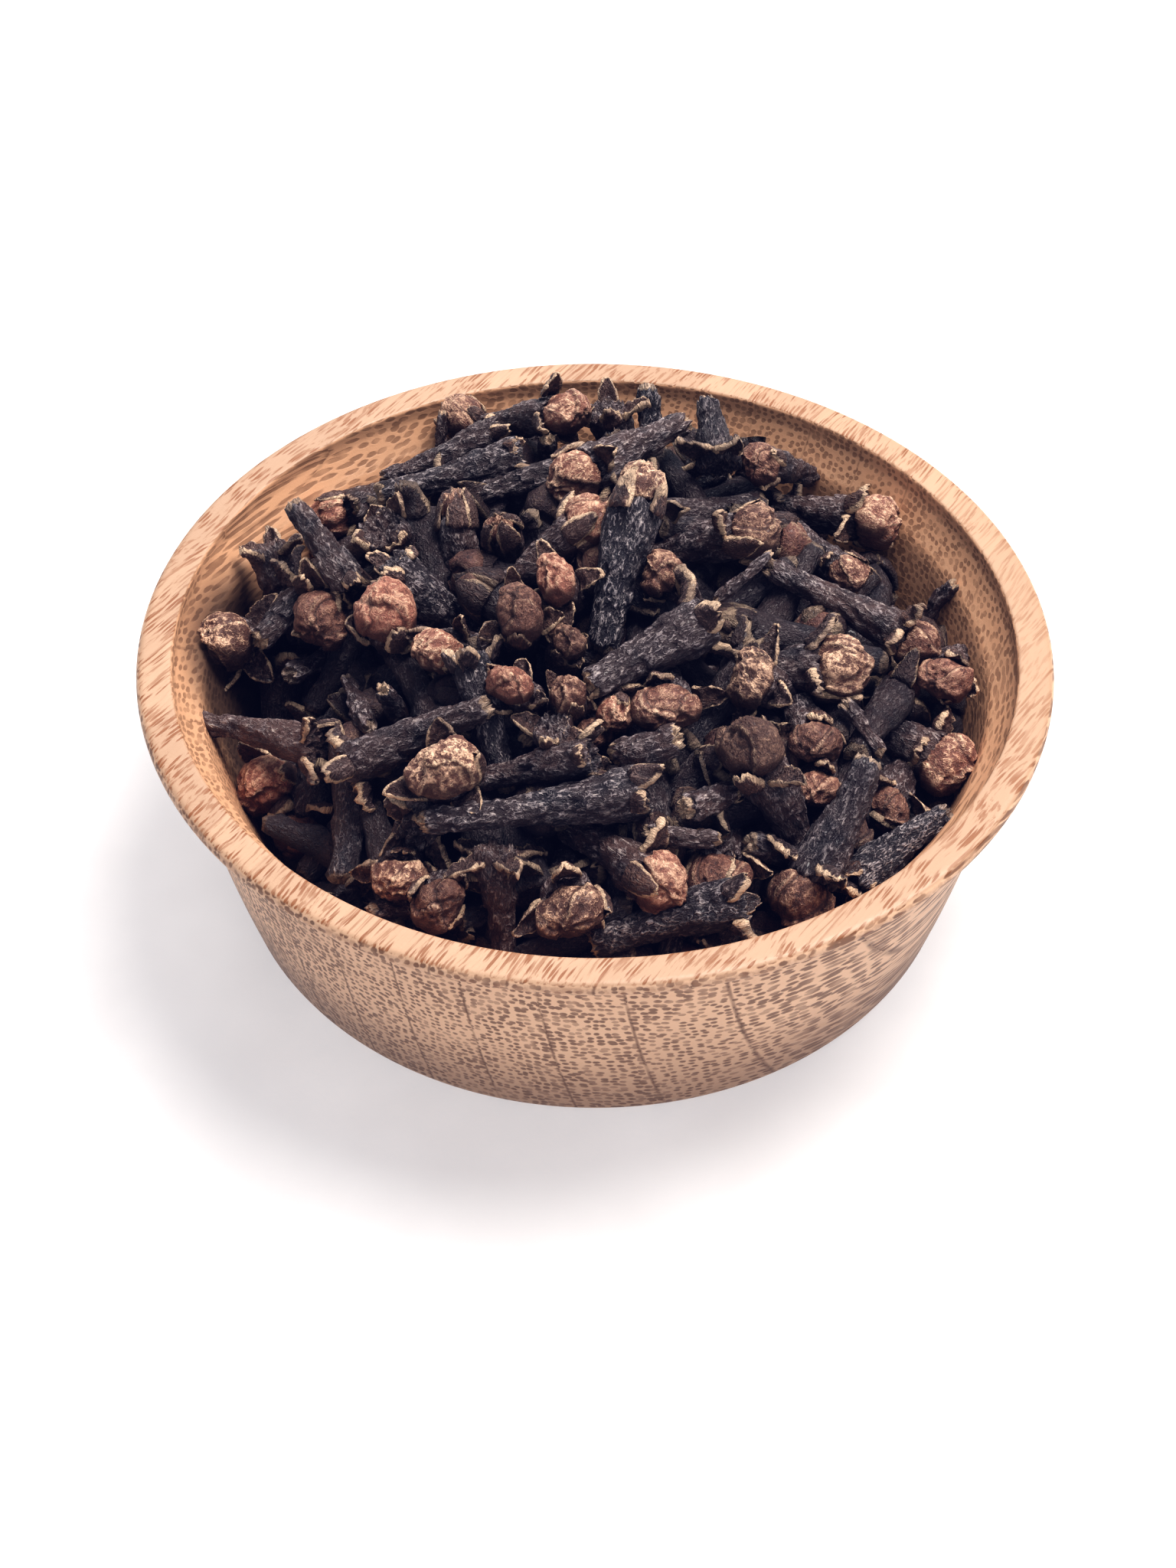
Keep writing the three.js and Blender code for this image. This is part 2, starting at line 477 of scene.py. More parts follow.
def bamboo_material(settings):
    """Carbonised bamboo with an oiled, satin surface."""
    material, tree = new_material("carbonised_bamboo")
    place = own_millimetres(tree)
    normal = node(tree, "TexCoord", {}, "Normal")
    facing = split(normal)[2]
    x, y, z = split(place)
    flat = vector(x, y, 0.0)
    outside = ramp(vectors("DOT_PRODUCT", normal, flat, "Value"), -4.0, 4.0)
    inside = 1.0 - outside
    level = ramp(facing, 0.55, 0.9)
    top = BOWL_HEIGHT / MM
    rim = RIM_RADIUS / MM
    strip_width = settings.strip_width / MM
    grain = place_group(tree, bamboo_grain(), {
        "Place": place, "Angle": settings.grain_angle, "Strip width": strip_width, "Level": facing})
    streaks = grain["Streaks"]
    pale = settings.pale_colour
    fibre = opaque(settings.fibre_colour)
    streak = opaque(settings.streak_colour)
    deep = opaque(pale, DEEP_SHARES)
    ground = mixed(ramp(grain["Strip tone"], 0.0, 1.0, 0.0, 0.70), opaque(pale), deep)
    ground = mixed(ramp(streaks, 0.35, 0.75, 0.0, 0.45), ground, deep)
    # Painted shade: flat faces, the lip's top, are mixed towards the deeper tone; the walls take their own
    # tints, the inner one warmed as painted bounce light
    ground = mixed(level * 0.38 + 0.04, ground, deep)
    walls = mixed(outside, opaque(pale, INNER_SHARES), opaque(pale, OUTER_SHARES))
    ground = mixed(1.0 - level, ground, walls)
    # Painted shade: the outer wall darkens towards the foot
    low = ramp(z, 0.0, 0.52 * top, 1.0, 0.0) * outside
    ground = mixed(low, ground, deep)
    ground = mixed(low * 0.16, ground, fibre)
    ground = mixed(ramp(noise(place, 0.09, 3.0), 0.4, 0.75, 0.0, 0.28), ground, deep)
    clear = ramp(vectors("DISTANCE", place, CLEAR_MIDDLE, "Value"), *CLEAR_REACH, 0.60, 0.0)
    marked = 1.0 - clear * level
    warm_fibre = mixed(level, fibre, streak)
    dark = (level * 0.44 + ramp(outside, 0.0, 1.0, 0.56, 0.80)).clamped() * marked
    colour = mixed(grain["Bundles"] * dark, ground, warm_fibre)
    colour = mixed(ramp(streaks, 0.54, 0.62, 0.0, 0.55) * level * marked, colour, streak)
    colour = mixed(grain["Seams"] * (outside * 0.40 + 0.30), colour, warm_fibre)
    # Painted shadow, low on the left of the inner wall
    painted_shadow = ramp(vectors("DISTANCE", place, PAINTED_SHADOW_MIDDLE, "Value"), *PAINTED_SHADOW_REACH, 0.86, 0.0)
    colour = mixed(painted_shadow * inside, colour, PAINTED_SHADOW_COLOUR)
    uneven = noise(place, 1.6, 3.0, 0.6)
    # Painted shadow: a thin, ragged dark line under the lip's outer edge
    shadow_under_edge = ramp(uneven * 0.5 + z, top - 0.78, top - 0.62, 1.0, 0.0)
    near_rim = ramp(vectors("LENGTH", flat, output="Value"), rim - 0.5, rim - 0.2)
    colour = mixed(shadow_under_edge * near_rim * 0.62, colour, fibre)
    band = ramp(facing, 0.35, 0.80, 1.0, 0.0) * ramp(z, top - 1.1, top - 0.8) * outside
    colour = mixed(band * ramp(uneven, 0.4, 0.6, 0.05, 0.34), colour, streak)
    height = noise(place, 5.0, 3.0, 0.6) * 0.25 + grain["Height"]
    roughness = ramp(streaks, 0.3, 0.8, 0.40, 0.56)
    surface = {"Base Color": colour, "Roughness": roughness, "Specular IOR Level": 0.45}
    return finished(material, surface, height, 0.42, 0.12)


BOWL_SIDES = 168
SHARP_EDGE = math.radians(40)
FOOT_ROUND = 1.2 * MM
WALL_BULGE = 0.35 * MM
COVE_HEIGHT = 1.4 * MM
LIP_TOP_ROUND = 0.7 * MM
LIP_UNDER_ROUND = 0.4 * MM
LIP_INNER_ROUND = 0.35 * MM
INNER_STEP = 1.1 * MM
SHOULDER_DEPTH = 3.6 * MM
FLOOR_FILLET = 4.0 * MM
SHOULDER_EASE = 0.9 * MM
WALL_HOLLOW = 1.8 * MM
FILLET_EASE = 0.7 * MM


def bowl_outline(settings):
    """The bowl's section from the middle of the foot, up the outside, and down to the middle of the floor."""
    under_lip = BOWL_HEIGHT - settings.lip_thickness
    foot = settings.foot_radius
    neck = (settings.neck_radius, under_lip - COVE_HEIGHT)
    lip_inner = RIM_RADIUS - settings.lip_width
    step = (lip_inner, BOWL_HEIGHT - INNER_STEP)
    shoulder = (settings.shoulder_radius, BOWL_HEIGHT - SHOULDER_DEPTH)
    fillet_top = (settings.base_wall_radius, settings.floor_thickness + FLOOR_FILLET)
    floor_edge = (settings.base_wall_radius - FLOOR_FILLET, settings.floor_thickness)
    side_middle = ((foot + neck[0]) / 2 + 2 * WALL_BULGE, (neck[1] + FOOT_ROUND) / 2)
    outline = [(foot * share, 0, 0) for share in (0.02, 0.25, 0.5, 0.75, 0.9)]
    outline.append((foot - FOOT_ROUND, 0, 0))
    outline += curve(outline[-1], (foot - FOOT_ROUND / 6, 0), (foot, FOOT_ROUND), 6)
    outline += curve(outline[-1], side_middle, neck, 22)
    outline += curve(neck, (neck[0], under_lip), (RIM_RADIUS - LIP_UNDER_ROUND, under_lip), 9)
    outline += curve(outline[-1], (RIM_RADIUS, under_lip), (RIM_RADIUS, under_lip + LIP_UNDER_ROUND), 4)
    outline += curve(outline[-1], (RIM_RADIUS, BOWL_HEIGHT), (RIM_RADIUS - LIP_TOP_ROUND, BOWL_HEIGHT), 7)
    inner_edge = lip_inner + LIP_INNER_ROUND
    flat = outline[-1][0] - inner_edge
    outline += [(outline[-1][0] - flat * part / 4, BOWL_HEIGHT, 0) for part in (1, 2, 3, 4)]
    outline += curve(outline[-1], (lip_inner, BOWL_HEIGHT), (lip_inner, BOWL_HEIGHT - LIP_INNER_ROUND), 4)
    outline.append((lip_inner, step[1], 0))
    outline += curve(step, (lip_inner - SHOULDER_EASE, shoulder[1] + SHOULDER_EASE), shoulder, 8)
    hollow = (settings.base_wall_radius + WALL_HOLLOW, (shoulder[1] + fillet_top[1]) / 2)
    outline += curve(shoulder, hollow, fillet_top, 12)
    fillet_corner = (settings.base_wall_radius - FILLET_EASE, settings.floor_thickness)
    outline += curve(fillet_top, fillet_corner, floor_edge, 7)
    outline += [(floor_edge[0] * share, settings.floor_thickness, 0) for share in (0.6, 0.3, 0.02)]
    return outline


class CLOVES_OT_bowl(bpy.types.Operator):
    """Turns the bamboo bowl."""

    bl_idname = "cloves.bowl"
    bl_label = "Bowl"

    def execute(self, context):
        settings = context.scene.bowl_settings
        bowl = turned("bamboo_bowl", bowl_outline(settings), BOWL_SIDES)
        activate(bowl)
        bpy.ops.object.shade_smooth_by_angle(angle=SHARP_EDGE)
        bowl.data.materials.append(bamboo_material(settings))
        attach(bowl, BODY)
        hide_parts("bowl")
        return {"FINISHED"}


# ---------------------------------------------------------------- clove patterns, in millimetres


CALYX = 11.0
PATTERN_GIRTH = 3.2
PATTERN_BUD = 4.4
# Height of the bud's middle over the calyx, as a share of its radius
BUD_SINK = 0.58

STEM_OUTLINE = (
    (0.00, 0.55), (0.015, 0.88), (0.05, 1.02), (0.12, 1.02), (0.20, 1.06), (0.28, 1.08), (0.36, 1.16),
    (0.44, 1.22), (0.52, 1.34), (0.60, 1.46), (0.68, 1.56), (0.76, 1.68), (0.84, 1.78), (0.92, 1.86),
    (0.985, 1.90))
CUP_OUTLINE = ((1.0, 1.62), (0.985, 1.25), (0.965, 0.45))
BROKEN_OUTLINE = (
    (0.00, 0.40), (0.02, 0.80), (0.08, 0.98), (0.20, 1.05), (0.32, 1.02), (0.44, 1.10), (0.56, 1.12),
    (0.68, 1.16), (0.80, 1.14), (0.92, 1.12), (0.985, 0.86), (1.0, 0.35))


class Lobes(NamedTuple):
    """How a calyx opens: angles in degrees, sizes in millimetres, one lean, curl and size for each lobe.
    dry is how far up a lobe its tan tip starts."""

    leans: tuple
    curls: tuple
    shares: tuple = (1.0, 0.85, 1.1, 0.95)
    length: float = 3.1
    width: float = 2.2
    thickness: float = 0.62
    out: float = 1.66
    dry: float = 1.0


class Pattern(NamedTuple):
    """One kind of clove: its calyx, the size of its round bud if it still has one, and its stem's bow."""

    lobes: Lobes = None
    bud: float = 0.0
    bow: float = 0.5
    outline: tuple = STEM_OUTLINE


PATTERNS = {
    "hugging": Pattern(Lobes((16, 34, 22, 12), (-30, -10, -24, -38)), 1.0, 0.5),
    "half_open": Pattern(Lobes((48, 32, 62, 24), (-6, 20, 14, -22), (1.0, 1.1, 0.8, 1.1)), 1.0, -0.7),
    "spread": Pattern(Lobes((74, 90, 62, 82), (16, 30, 4, 26), (1.1, 0.9, 1.15, 1.0)), 1.0, 0.3),
    "one_sided": Pattern(Lobes((18, 80, 36, 64), (-30, 30, -4, 38), (1.1, 1.0, 0.7, 1.1)), 1.0, 0.9),
    "curled": Pattern(Lobes((44, 56, 36, 68), (58, 44, 76, 50), (1.1, 1.2, 0.9, 1.0)), 1.0, -0.4),
    "closed": Pattern(
        Lobes((14, 18, 12, 16), (-70, -80, -74, -66), (1.0, 1.1, 0.95, 1.05), 3.9, 2.8, 0.60, 1.72),
        0.80, 0.4),
    "capped": Pattern(
        Lobes((26, 30, 20, 28), (-86, -98, -78, -92), (1.0, 1.1, 0.9, 1.05), 3.9, 2.2, 0.50, 1.72, 0.45),
        0.90, 0.4),
    "ragged": Pattern(Lobes((30, 66, 22, 50), (-4, 44, -28, 20), (0.6, 1.0, 0.8, 0.5)), 1.0, -1.0),
    "bare_open": Pattern(
        Lobes((30, 48, 20, 56), (20, 36, 6, 28), (1.0, 1.2, 0.8, 1.1), 3.0, 2.0, 0.75, 1.36), 0.0, 0.5),
    "bare_star": Pattern(
        Lobes((80, 94, 72, 98), (14, 24, 20, 8), (1.0, 1.2, 1.0, 1.1), 3.9, 2.5, 0.75, 1.30), 0.0, 0.3),
    "bare_curled": Pattern(
        Lobes((26, 36, 18, 46), (80, 56, 104, 66), (1.1, 0.8, 1.2, 0.9), 3.7, 2.2, 0.80, 1.36), 0.0, -0.5),
    "bare_short": Pattern(
        Lobes((18, 34, 26, 44), (10, 30, 0, 20), (1.0, 0.6, 1.3, 0.8), 1.9, 2.0, 0.80, 1.36), 0.0, 0.9),
    "stem": Pattern(None, 0.0, 0.8, BROKEN_OUTLINE),
}

# Height, width and thickness of a lobe from its base to its tip, as shares
LOBE_TAPER = (
    (0.0, 1.0, 1.0), (0.2, 1.10, 0.92), (0.42, 1.04, 0.80), (0.64, 0.84, 0.68), (0.84, 0.52, 0.58),
    (1.0, 0.16, 0.42))
LOBE_COLUMNS = 3
LOBE_SINK = 0.75
LOBE_CUP = 0.20


def lobe_width_at(share):
    """Width of a lobe, as a share of its base, at a share of its length."""
    heights, widths = list(zip(*LOBE_TAPER))[:2]
    return float(np.interp(share, heights, widths))


def calyx_lobe(lobes, number):
    """One leaf-like lobe: drawn up from a strip, cupped, curled, leaned out and set on the calyx."""
    length = lobes.length * lobes.shares[number]
    deselect_all()
    bpy.ops.mesh.primitive_grid_add(x_subdivisions=LOBE_COLUMNS, y_subdivisions=1, size=1, location=(0, 0, 0))
    lobe = bpy.context.object
    lobe.scale = (lobes.width, lobes.thickness, 1)
    settle_place(lobe)
    rows = []
    for (height, wide, thick), (higher, wider, thicker) in zip(LOBE_TAPER, LOBE_TAPER[1:]):
        rise = (higher - height) * length
        rows.append(((0, 0, rise), (0, 0, higher * length), (wider / wide, thicker / thick, 1)))
    draw_up(lobe, rows)

    def across(place):
        return abs(place.x) / (lobes.width / 2 * lobe_width_at(place.z / length))

    dry = 0.9 * lobes.dry * length
    mark(lobe, "edge", lambda place: 1.0 if across(place) > 0.8 or place.z > dry else 0.0)
    mark(lobe, "lobe", lambda place: 1.0)
    mark(lobe, "firm", lambda place: 0.60)
    mark(lobe, "creased", lambda place: 0.60)
    start_editing(lobe)
    pick_points(lobe, lambda place: across(place) < 0.5)
    bpy.ops.transform.translate(value=(0, LOBE_CUP * lobes.width, 0))
    stop_editing()
    curl = math.radians(lobes.curls[number])
    apply_modifier(lobe, "SIMPLE_DEFORM", deform_method="BEND", deform_axis="X", angle=curl)
    turn = math.radians(90 * number + 14 * (number % 3) - 12)
    lobe.rotation_euler = (-math.radians(lobes.leans[number]), 0, turn)
    lobe.location = (-lobes.out * math.sin(turn), lobes.out * math.cos(turn), CALYX - LOBE_SINK)
    settle_place(lobe)
    return lobe


# How far each petal stands out, the width of its marked edge as a share of the radius, and how far out
# a point counts as on the petal
UPPER_PETAL = 0.46
LOWER_PETAL = 0.34
PETAL_BORDER = 0.20
PETAL_STEP = 0.08
BUD_TWIST = math.radians(48)


def round_bud(size, segments, rings):
    """The round bud of folded petals: a ball with one petal lying over the top and one beside it."""
    radius = PATTERN_BUD / 2
    border = PETAL_BORDER * radius
    lifted = radius + PETAL_STEP
    deselect_all()
    bpy.ops.mesh.primitive_uv_sphere_add(
        segments=segments, ring_count=rings, radius=radius, location=(0, 0, 0))
    bud = bpy.context.object

    def over_upper(place):
        return place.x - abs(place.y) + 0.25 * radius

    def over_lower(place):
        return -place.x - abs(place.y) - 0.32 * radius

    for reach, rise in ((over_upper, UPPER_PETAL), (over_lower, LOWER_PETAL)):
        start_editing(bud)
        pick_faces(bud, lambda middle: middle.z > -0.5 * radius and reach(middle) > 0)
        bpy.ops.mesh.extrude_region_shrink_fatten(TRANSFORM_OT_shrink_fatten={"value": rise})
        stop_editing()
        mark(bud, "edge", lambda place: 0.9 if place.length > lifted and abs(reach(place)) < border else 0.0)
        # Fold points take the painted shade under a petal's edge
        mark(bud, "fold", lambda place: 1.0 if place.length < lifted and abs(reach(place)) < border else 0.0)
    apply_modifier(bud, "SIMPLE_DEFORM", deform_method="TWIST", deform_axis="Z", angle=BUD_TWIST)
    mark(bud, "bud", lambda place: 1.0)
    mark(bud, "firm", lambda place: 1.0)
    mark(bud, "creased", lambda place: 0.42)
    bud.scale = (size, 0.96 * size, 0.92 * size)
    bud.location = (0, 0, CALYX + BUD_SINK * radius)
    settle_place(bud)
    return bud


def stem_body(pattern, sides, rows):
    """The tapering stem, with the squarish swelling and the hollow mouth of the calyx."""
    heights, radii = zip(*pattern.outline)
    rings = sorted({heights[0], heights[1], heights[-1], *np.linspace(heights[2], heights[-2], rows)})
    outline = []
    for share in rings:
        sideways = 2 * pattern.bow * (share - share * share)
        outline.append((float(np.interp(share, heights, radii)), CALYX * share, sideways))
    if pattern.lobes:
        outline += [(radius, CALYX * share, 0) for share, radius in CUP_OUTLINE]
    stem = turned("stem", outline, sides)
    mark(stem, "firm", lambda place: 0.75)
    mark(stem, "creased", lambda place: 1.0)
    mark(stem, "cut", lambda place: 1.0 if place.z < 0.03 * CALYX else 0.0)
    if pattern.lobes:
        mark(stem, "edge", lambda place: 0.8 if place.z > 0.99 * CALYX else 0.0)
    else:
        mark(stem, "cut", lambda place: 1.0 if place.z > 0.97 * CALYX else 0.0)
    start_editing(stem)
    pick_points(stem, lambda place: place.z > 0.55 * CALYX and min(abs(place.x), abs(place.y)) > 0.75)
    bpy.ops.transform.resize(value=(1.10, 1.10, 1), center_override=(0, 0, CALYX))
    stop_editing()
    return stem


def group_weights(piece, group):
    """The weights of a vertex group as an array, nought where a point isn't in it."""
    weights = np.zeros(len(piece.data.vertices))
    found = piece.vertex_groups.get(group)
    if found:
        for vertex in piece.data.vertices:
            for member in vertex.groups:
                if member.group == found.index:
                    weights[vertex.index] = member.weight
    return weights


def store(mesh, name, values, kind="FLOAT", field="value"):
    attribute = mesh.attributes.get(name) or mesh.attributes.new(name, kind, "POINT")
    attribute.data.foreach_set(field, np.asarray(values, np.float32).ravel())


def on_points(mesh, field):
    """The places or normals of a mesh's points, one row each."""
    found = np.empty(len(mesh.vertices) * 3, np.float32)
    mesh.vertices.foreach_get(field, found)
    return found.reshape(-1, 3)


# Sides and rows of a stem, then segments and rings of a bud
FINE = (18, 28, 20, 12)
COARSE = (10, 12, 12, 8)


def clove_pattern(name, pattern, materials, fineness):
    """Models one kind of clove, standing on its cut end with the bud up."""
    sides, rows, segments, rings = fineness
    pieces = [stem_body(pattern, sides, rows)]
    if pattern.lobes:
        pieces += [calyx_lobe(pattern.lobes, number) for number in range(4)]
    if pattern.bud:
        pieces.append(round_bud(pattern.bud, segments, rings))
    whole = joined(name, pieces)
    if fineness == FINE:
        apply_modifier(whole, "SUBSURF", levels=1, render_levels=1)
    for group in ("edge", "lobe", "bud", "cut", "fold"):
        store(whole.data, group + "_share", group_weights(whole, group))
    on_bud = group_weights(whole, "bud")
    whole.data.materials.clear()
    for material in materials:
        whole.data.materials.append(material)
    for face in whole.data.polygons:
        face.material_index = 1 if on_bud[face.vertices[0]] > 0.5 else 0
        face.use_smooth = True
    return whole


# ---------------------------------------------------------------- clove finish


def dry_wrinkles():
    """Fine wrinkles and grain of dried skin, drawn out along the clove."""
    tree, (place, drawn_out, fineness) = new_group("Dry wrinkles", ("Drawn out", "Fineness"))
    drawn = swayed(stretched(place, vector(1.0, 1.0, drawn_out)), 1.8, 2.0, (0.45, 0.45, 0.45))
    cracks = {"Vector": drawn, "Scale": fineness}
    to_crack = node(tree, "TexVoronoi", cracks, "Distance", feature="DISTANCE_TO_EDGE")
    wrinkles = ramp(to_crack, 0.0, 0.16, 1.0, 0.0) * ramp(noise(drawn, fineness * 0.9), 0.44, 0.60)
    grain = noise(drawn, fineness * 1.5, 3.0, 0.75)
    patches = noise(place, 0.33, 3.0, 0.6)
    height = ramp(grain, 0.38, 0.62) * 0.45 + wrinkles * 0.55
    return close_group(tree, {"Wrinkles": wrinkles, "Grain": grain, "Patches": patches, "Height": height})


def clove_skin(settings, wrinkles):
    """Near-black wrinkled skin of stems and lobes, worn greyer on its ridges and tan at thin edges, with
    painted light on faces that look up and painted shade that deepens on buried cloves.
    """
    material, tree = new_material("clove_skin")
    place = read(tree, "own_place", "Vector")
    skin = place_group(tree, wrinkles, {"Place": place, "Drawn out": 0.55, "Fineness": 2.7})
    patches, grain = skin["Patches"], skin["Grain"]
    tone, shade = read(tree, "tone"), read(tree, "shade")
    dark, tan = opaque(settings.stem_colour), opaque(settings.edge_colour)
    raised = read(tree, "relief") * 0.32 + skin["Height"]
    # Painted shade and light: the worn share shrinks with a buried clove's depth and grows on faces that look
    # up, partly as wear and dust
    lighter = tone * 0.55 + patches * 1.5 - (shade * 0.45 + 0.10)
    share = (ramp(raised, 0.20, 0.90) * (lighter * (painted_top_light(tree) * 0.65 + 0.50))).clamped()
    colour = mixed(share, dark, opaque(settings.worn_and_lit_colour))
    warmth = (read(tree, "warmth") * ramp(patches, 0.30, 0.60, 0.2, 1.0)).clamped()
    colour = mixed(warmth * 0.7, colour, opaque(settings.warm_colour))
    colour = mixed(ramp(grain, 0.57, 0.67, 0.0, 0.5) * share, colour, opaque(settings.dust_and_lit_colour))
    lobe = read(tree, "lobe_share") * ramp(raised, 0.05, 0.75, 0.25, 1.0) * ramp(tone, 0.0, 1.0, 0.45, 1.0)
    colour = mixed(lobe, colour, opaque(settings.lobe_colour))
    torn = grain * 1.1 + (read(tree, "edge_share") - 0.55)
    colour = mixed(ramp(torn, 0.72, 0.98) * ramp(patches, 0.38, 0.55, 0.35, 1.0), colour, tan)
    cut = ramp(read(tree, "cut_share"), 0.35, 0.8) * read(tree, "fresh_cut")
    colour = mixed(cut * ramp(grain, 0.35, 0.6, 0.35, 0.85), colour, tan)
    colour = mixed(shade * 0.62, colour, dark)
    surface = {"Base Color": colour, "Roughness": ramp(grain, 0.3, 0.7, 0.34, 0.62)}
    return finished(material, surface, skin["Height"], 1.0, 0.21)


def bud_skin(settings, wrinkles):
    """Round buds, from dark brown through red to dusty tan, with paler petal edges, painted shade in the
    grooves, folds and undersides, and painted light on faces that look up.
    """
    material, tree = new_material("clove_bud")
    place = read(tree, "own_place", "Vector")
    skin = place_group(tree, wrinkles, {"Place": place, "Drawn out": 0.80, "Fineness": 2.9})
    grain = skin["Grain"]
    pale = read(tree, "pale")
    above = painted_top_light(tree)
    colour = mixed(read(tree, "red"), opaque(settings.brown_bud), opaque(settings.red_bud))
    raised = read(tree, "relief") * 0.36 + (skin["Height"] * 0.60 - 0.12)
    dusty = skin["Patches"] * 1.1 + (raised - 0.10)
    # Tan grows on faces that look up, partly as dust, partly as painted light
    fading = (pale * 1.6 + 0.16) * (above * 0.85 + 0.35)
    colour = mixed((ramp(dusty, 0.30, 1.05) * fading).clamped(), colour, opaque(settings.tan_bud))
    # Painted shade: darker in the grooves, in the folds under petals' edges and on undersides
    groove = ramp(raised, -0.55, 0.35, 0.95, 0.0) * ramp(grain, 0.35, 0.6, 1.0, 0.6)
    groove = maths("MAXIMUM", groove, ramp(read(tree, "fold_share"), 0.55, 0.95, 0.0, 0.75))
    groove = maths("MAXIMUM", groove * (1.0 - pale * 0.65), ramp(above, 0.05, 0.75, 0.74, 0.0))
    colour = mixed(groove, colour, opaque(settings.groove_shade_colour))
    # Tan on petal edges and raised ridges, partly paler dry skin, partly painted highlight, stronger on faces
    # that look up as painted light
    edge = ramp(read(tree, "edge_share"), 0.4, 0.85) * ramp(grain, 0.38, 0.6)
    crest = (maths("MAXIMUM", edge, ramp(raised, 0.42, 0.78)) * (pale * 0.8 + 0.35)).clamped()
    colour = mixed(crest * (above * 0.7 + 0.3), colour, opaque(settings.edge_colour))
    colour = mixed(read(tree, "shade") * 0.8, colour, opaque(settings.stem_colour))
    surface = {"Base Color": colour, "Roughness": ramp(grain, 0.3, 0.7, 0.40, 0.62)}
    return finished(material, surface, skin["Height"], 1.0, 0.12)


def core_material(settings, wrinkles):
    """Dark crumbled filling under the cloves, put where only shadow shows: its near-black colour is painted
    shadow.
    """
    material, tree = new_material("clove_shadow")
    skin = place_group(tree, wrinkles, {"Place": own_millimetres(tree), "Drawn out": 1.0, "Fineness": 0.8})
    stem = settings.stem_colour
    colour = mixed(skin["Wrinkles"], opaque(stem, (0.5, 0.5, 0.5)), opaque(stem))
    return finished(material, {"Base Color": colour, "Roughness": 0.8}, skin["Height"], 0.9, 0.6)


# ---------------------------------------------------------------- where the cloves lie


class Laid(NamedTuple):
    """A clove that shows. (u, v) is the middle of its bud, or the mouth of a bare calyx, in a picture
    1536 wide and 2048 high. The stem runs from there to its cut end: swing is its direction in the
    picture in degrees, 0 right and 90 up, and dip is how steeply it goes away from the viewer.
    Sizes are in millimetres. lift is towards the viewer, and warm, pale and red are shares."""

    pattern: str
    u: float
    v: float
    swing: float
    dip: float
    length: float
    girth: float
    bud: float
    lift: float = 0.0
    warm: float = 0.6
    pale: float = 0.0
    red: float = 0.0


PICTURE_WIDTH = 1536
PICTURE_HEIGHT = 2048
SENSOR = 36

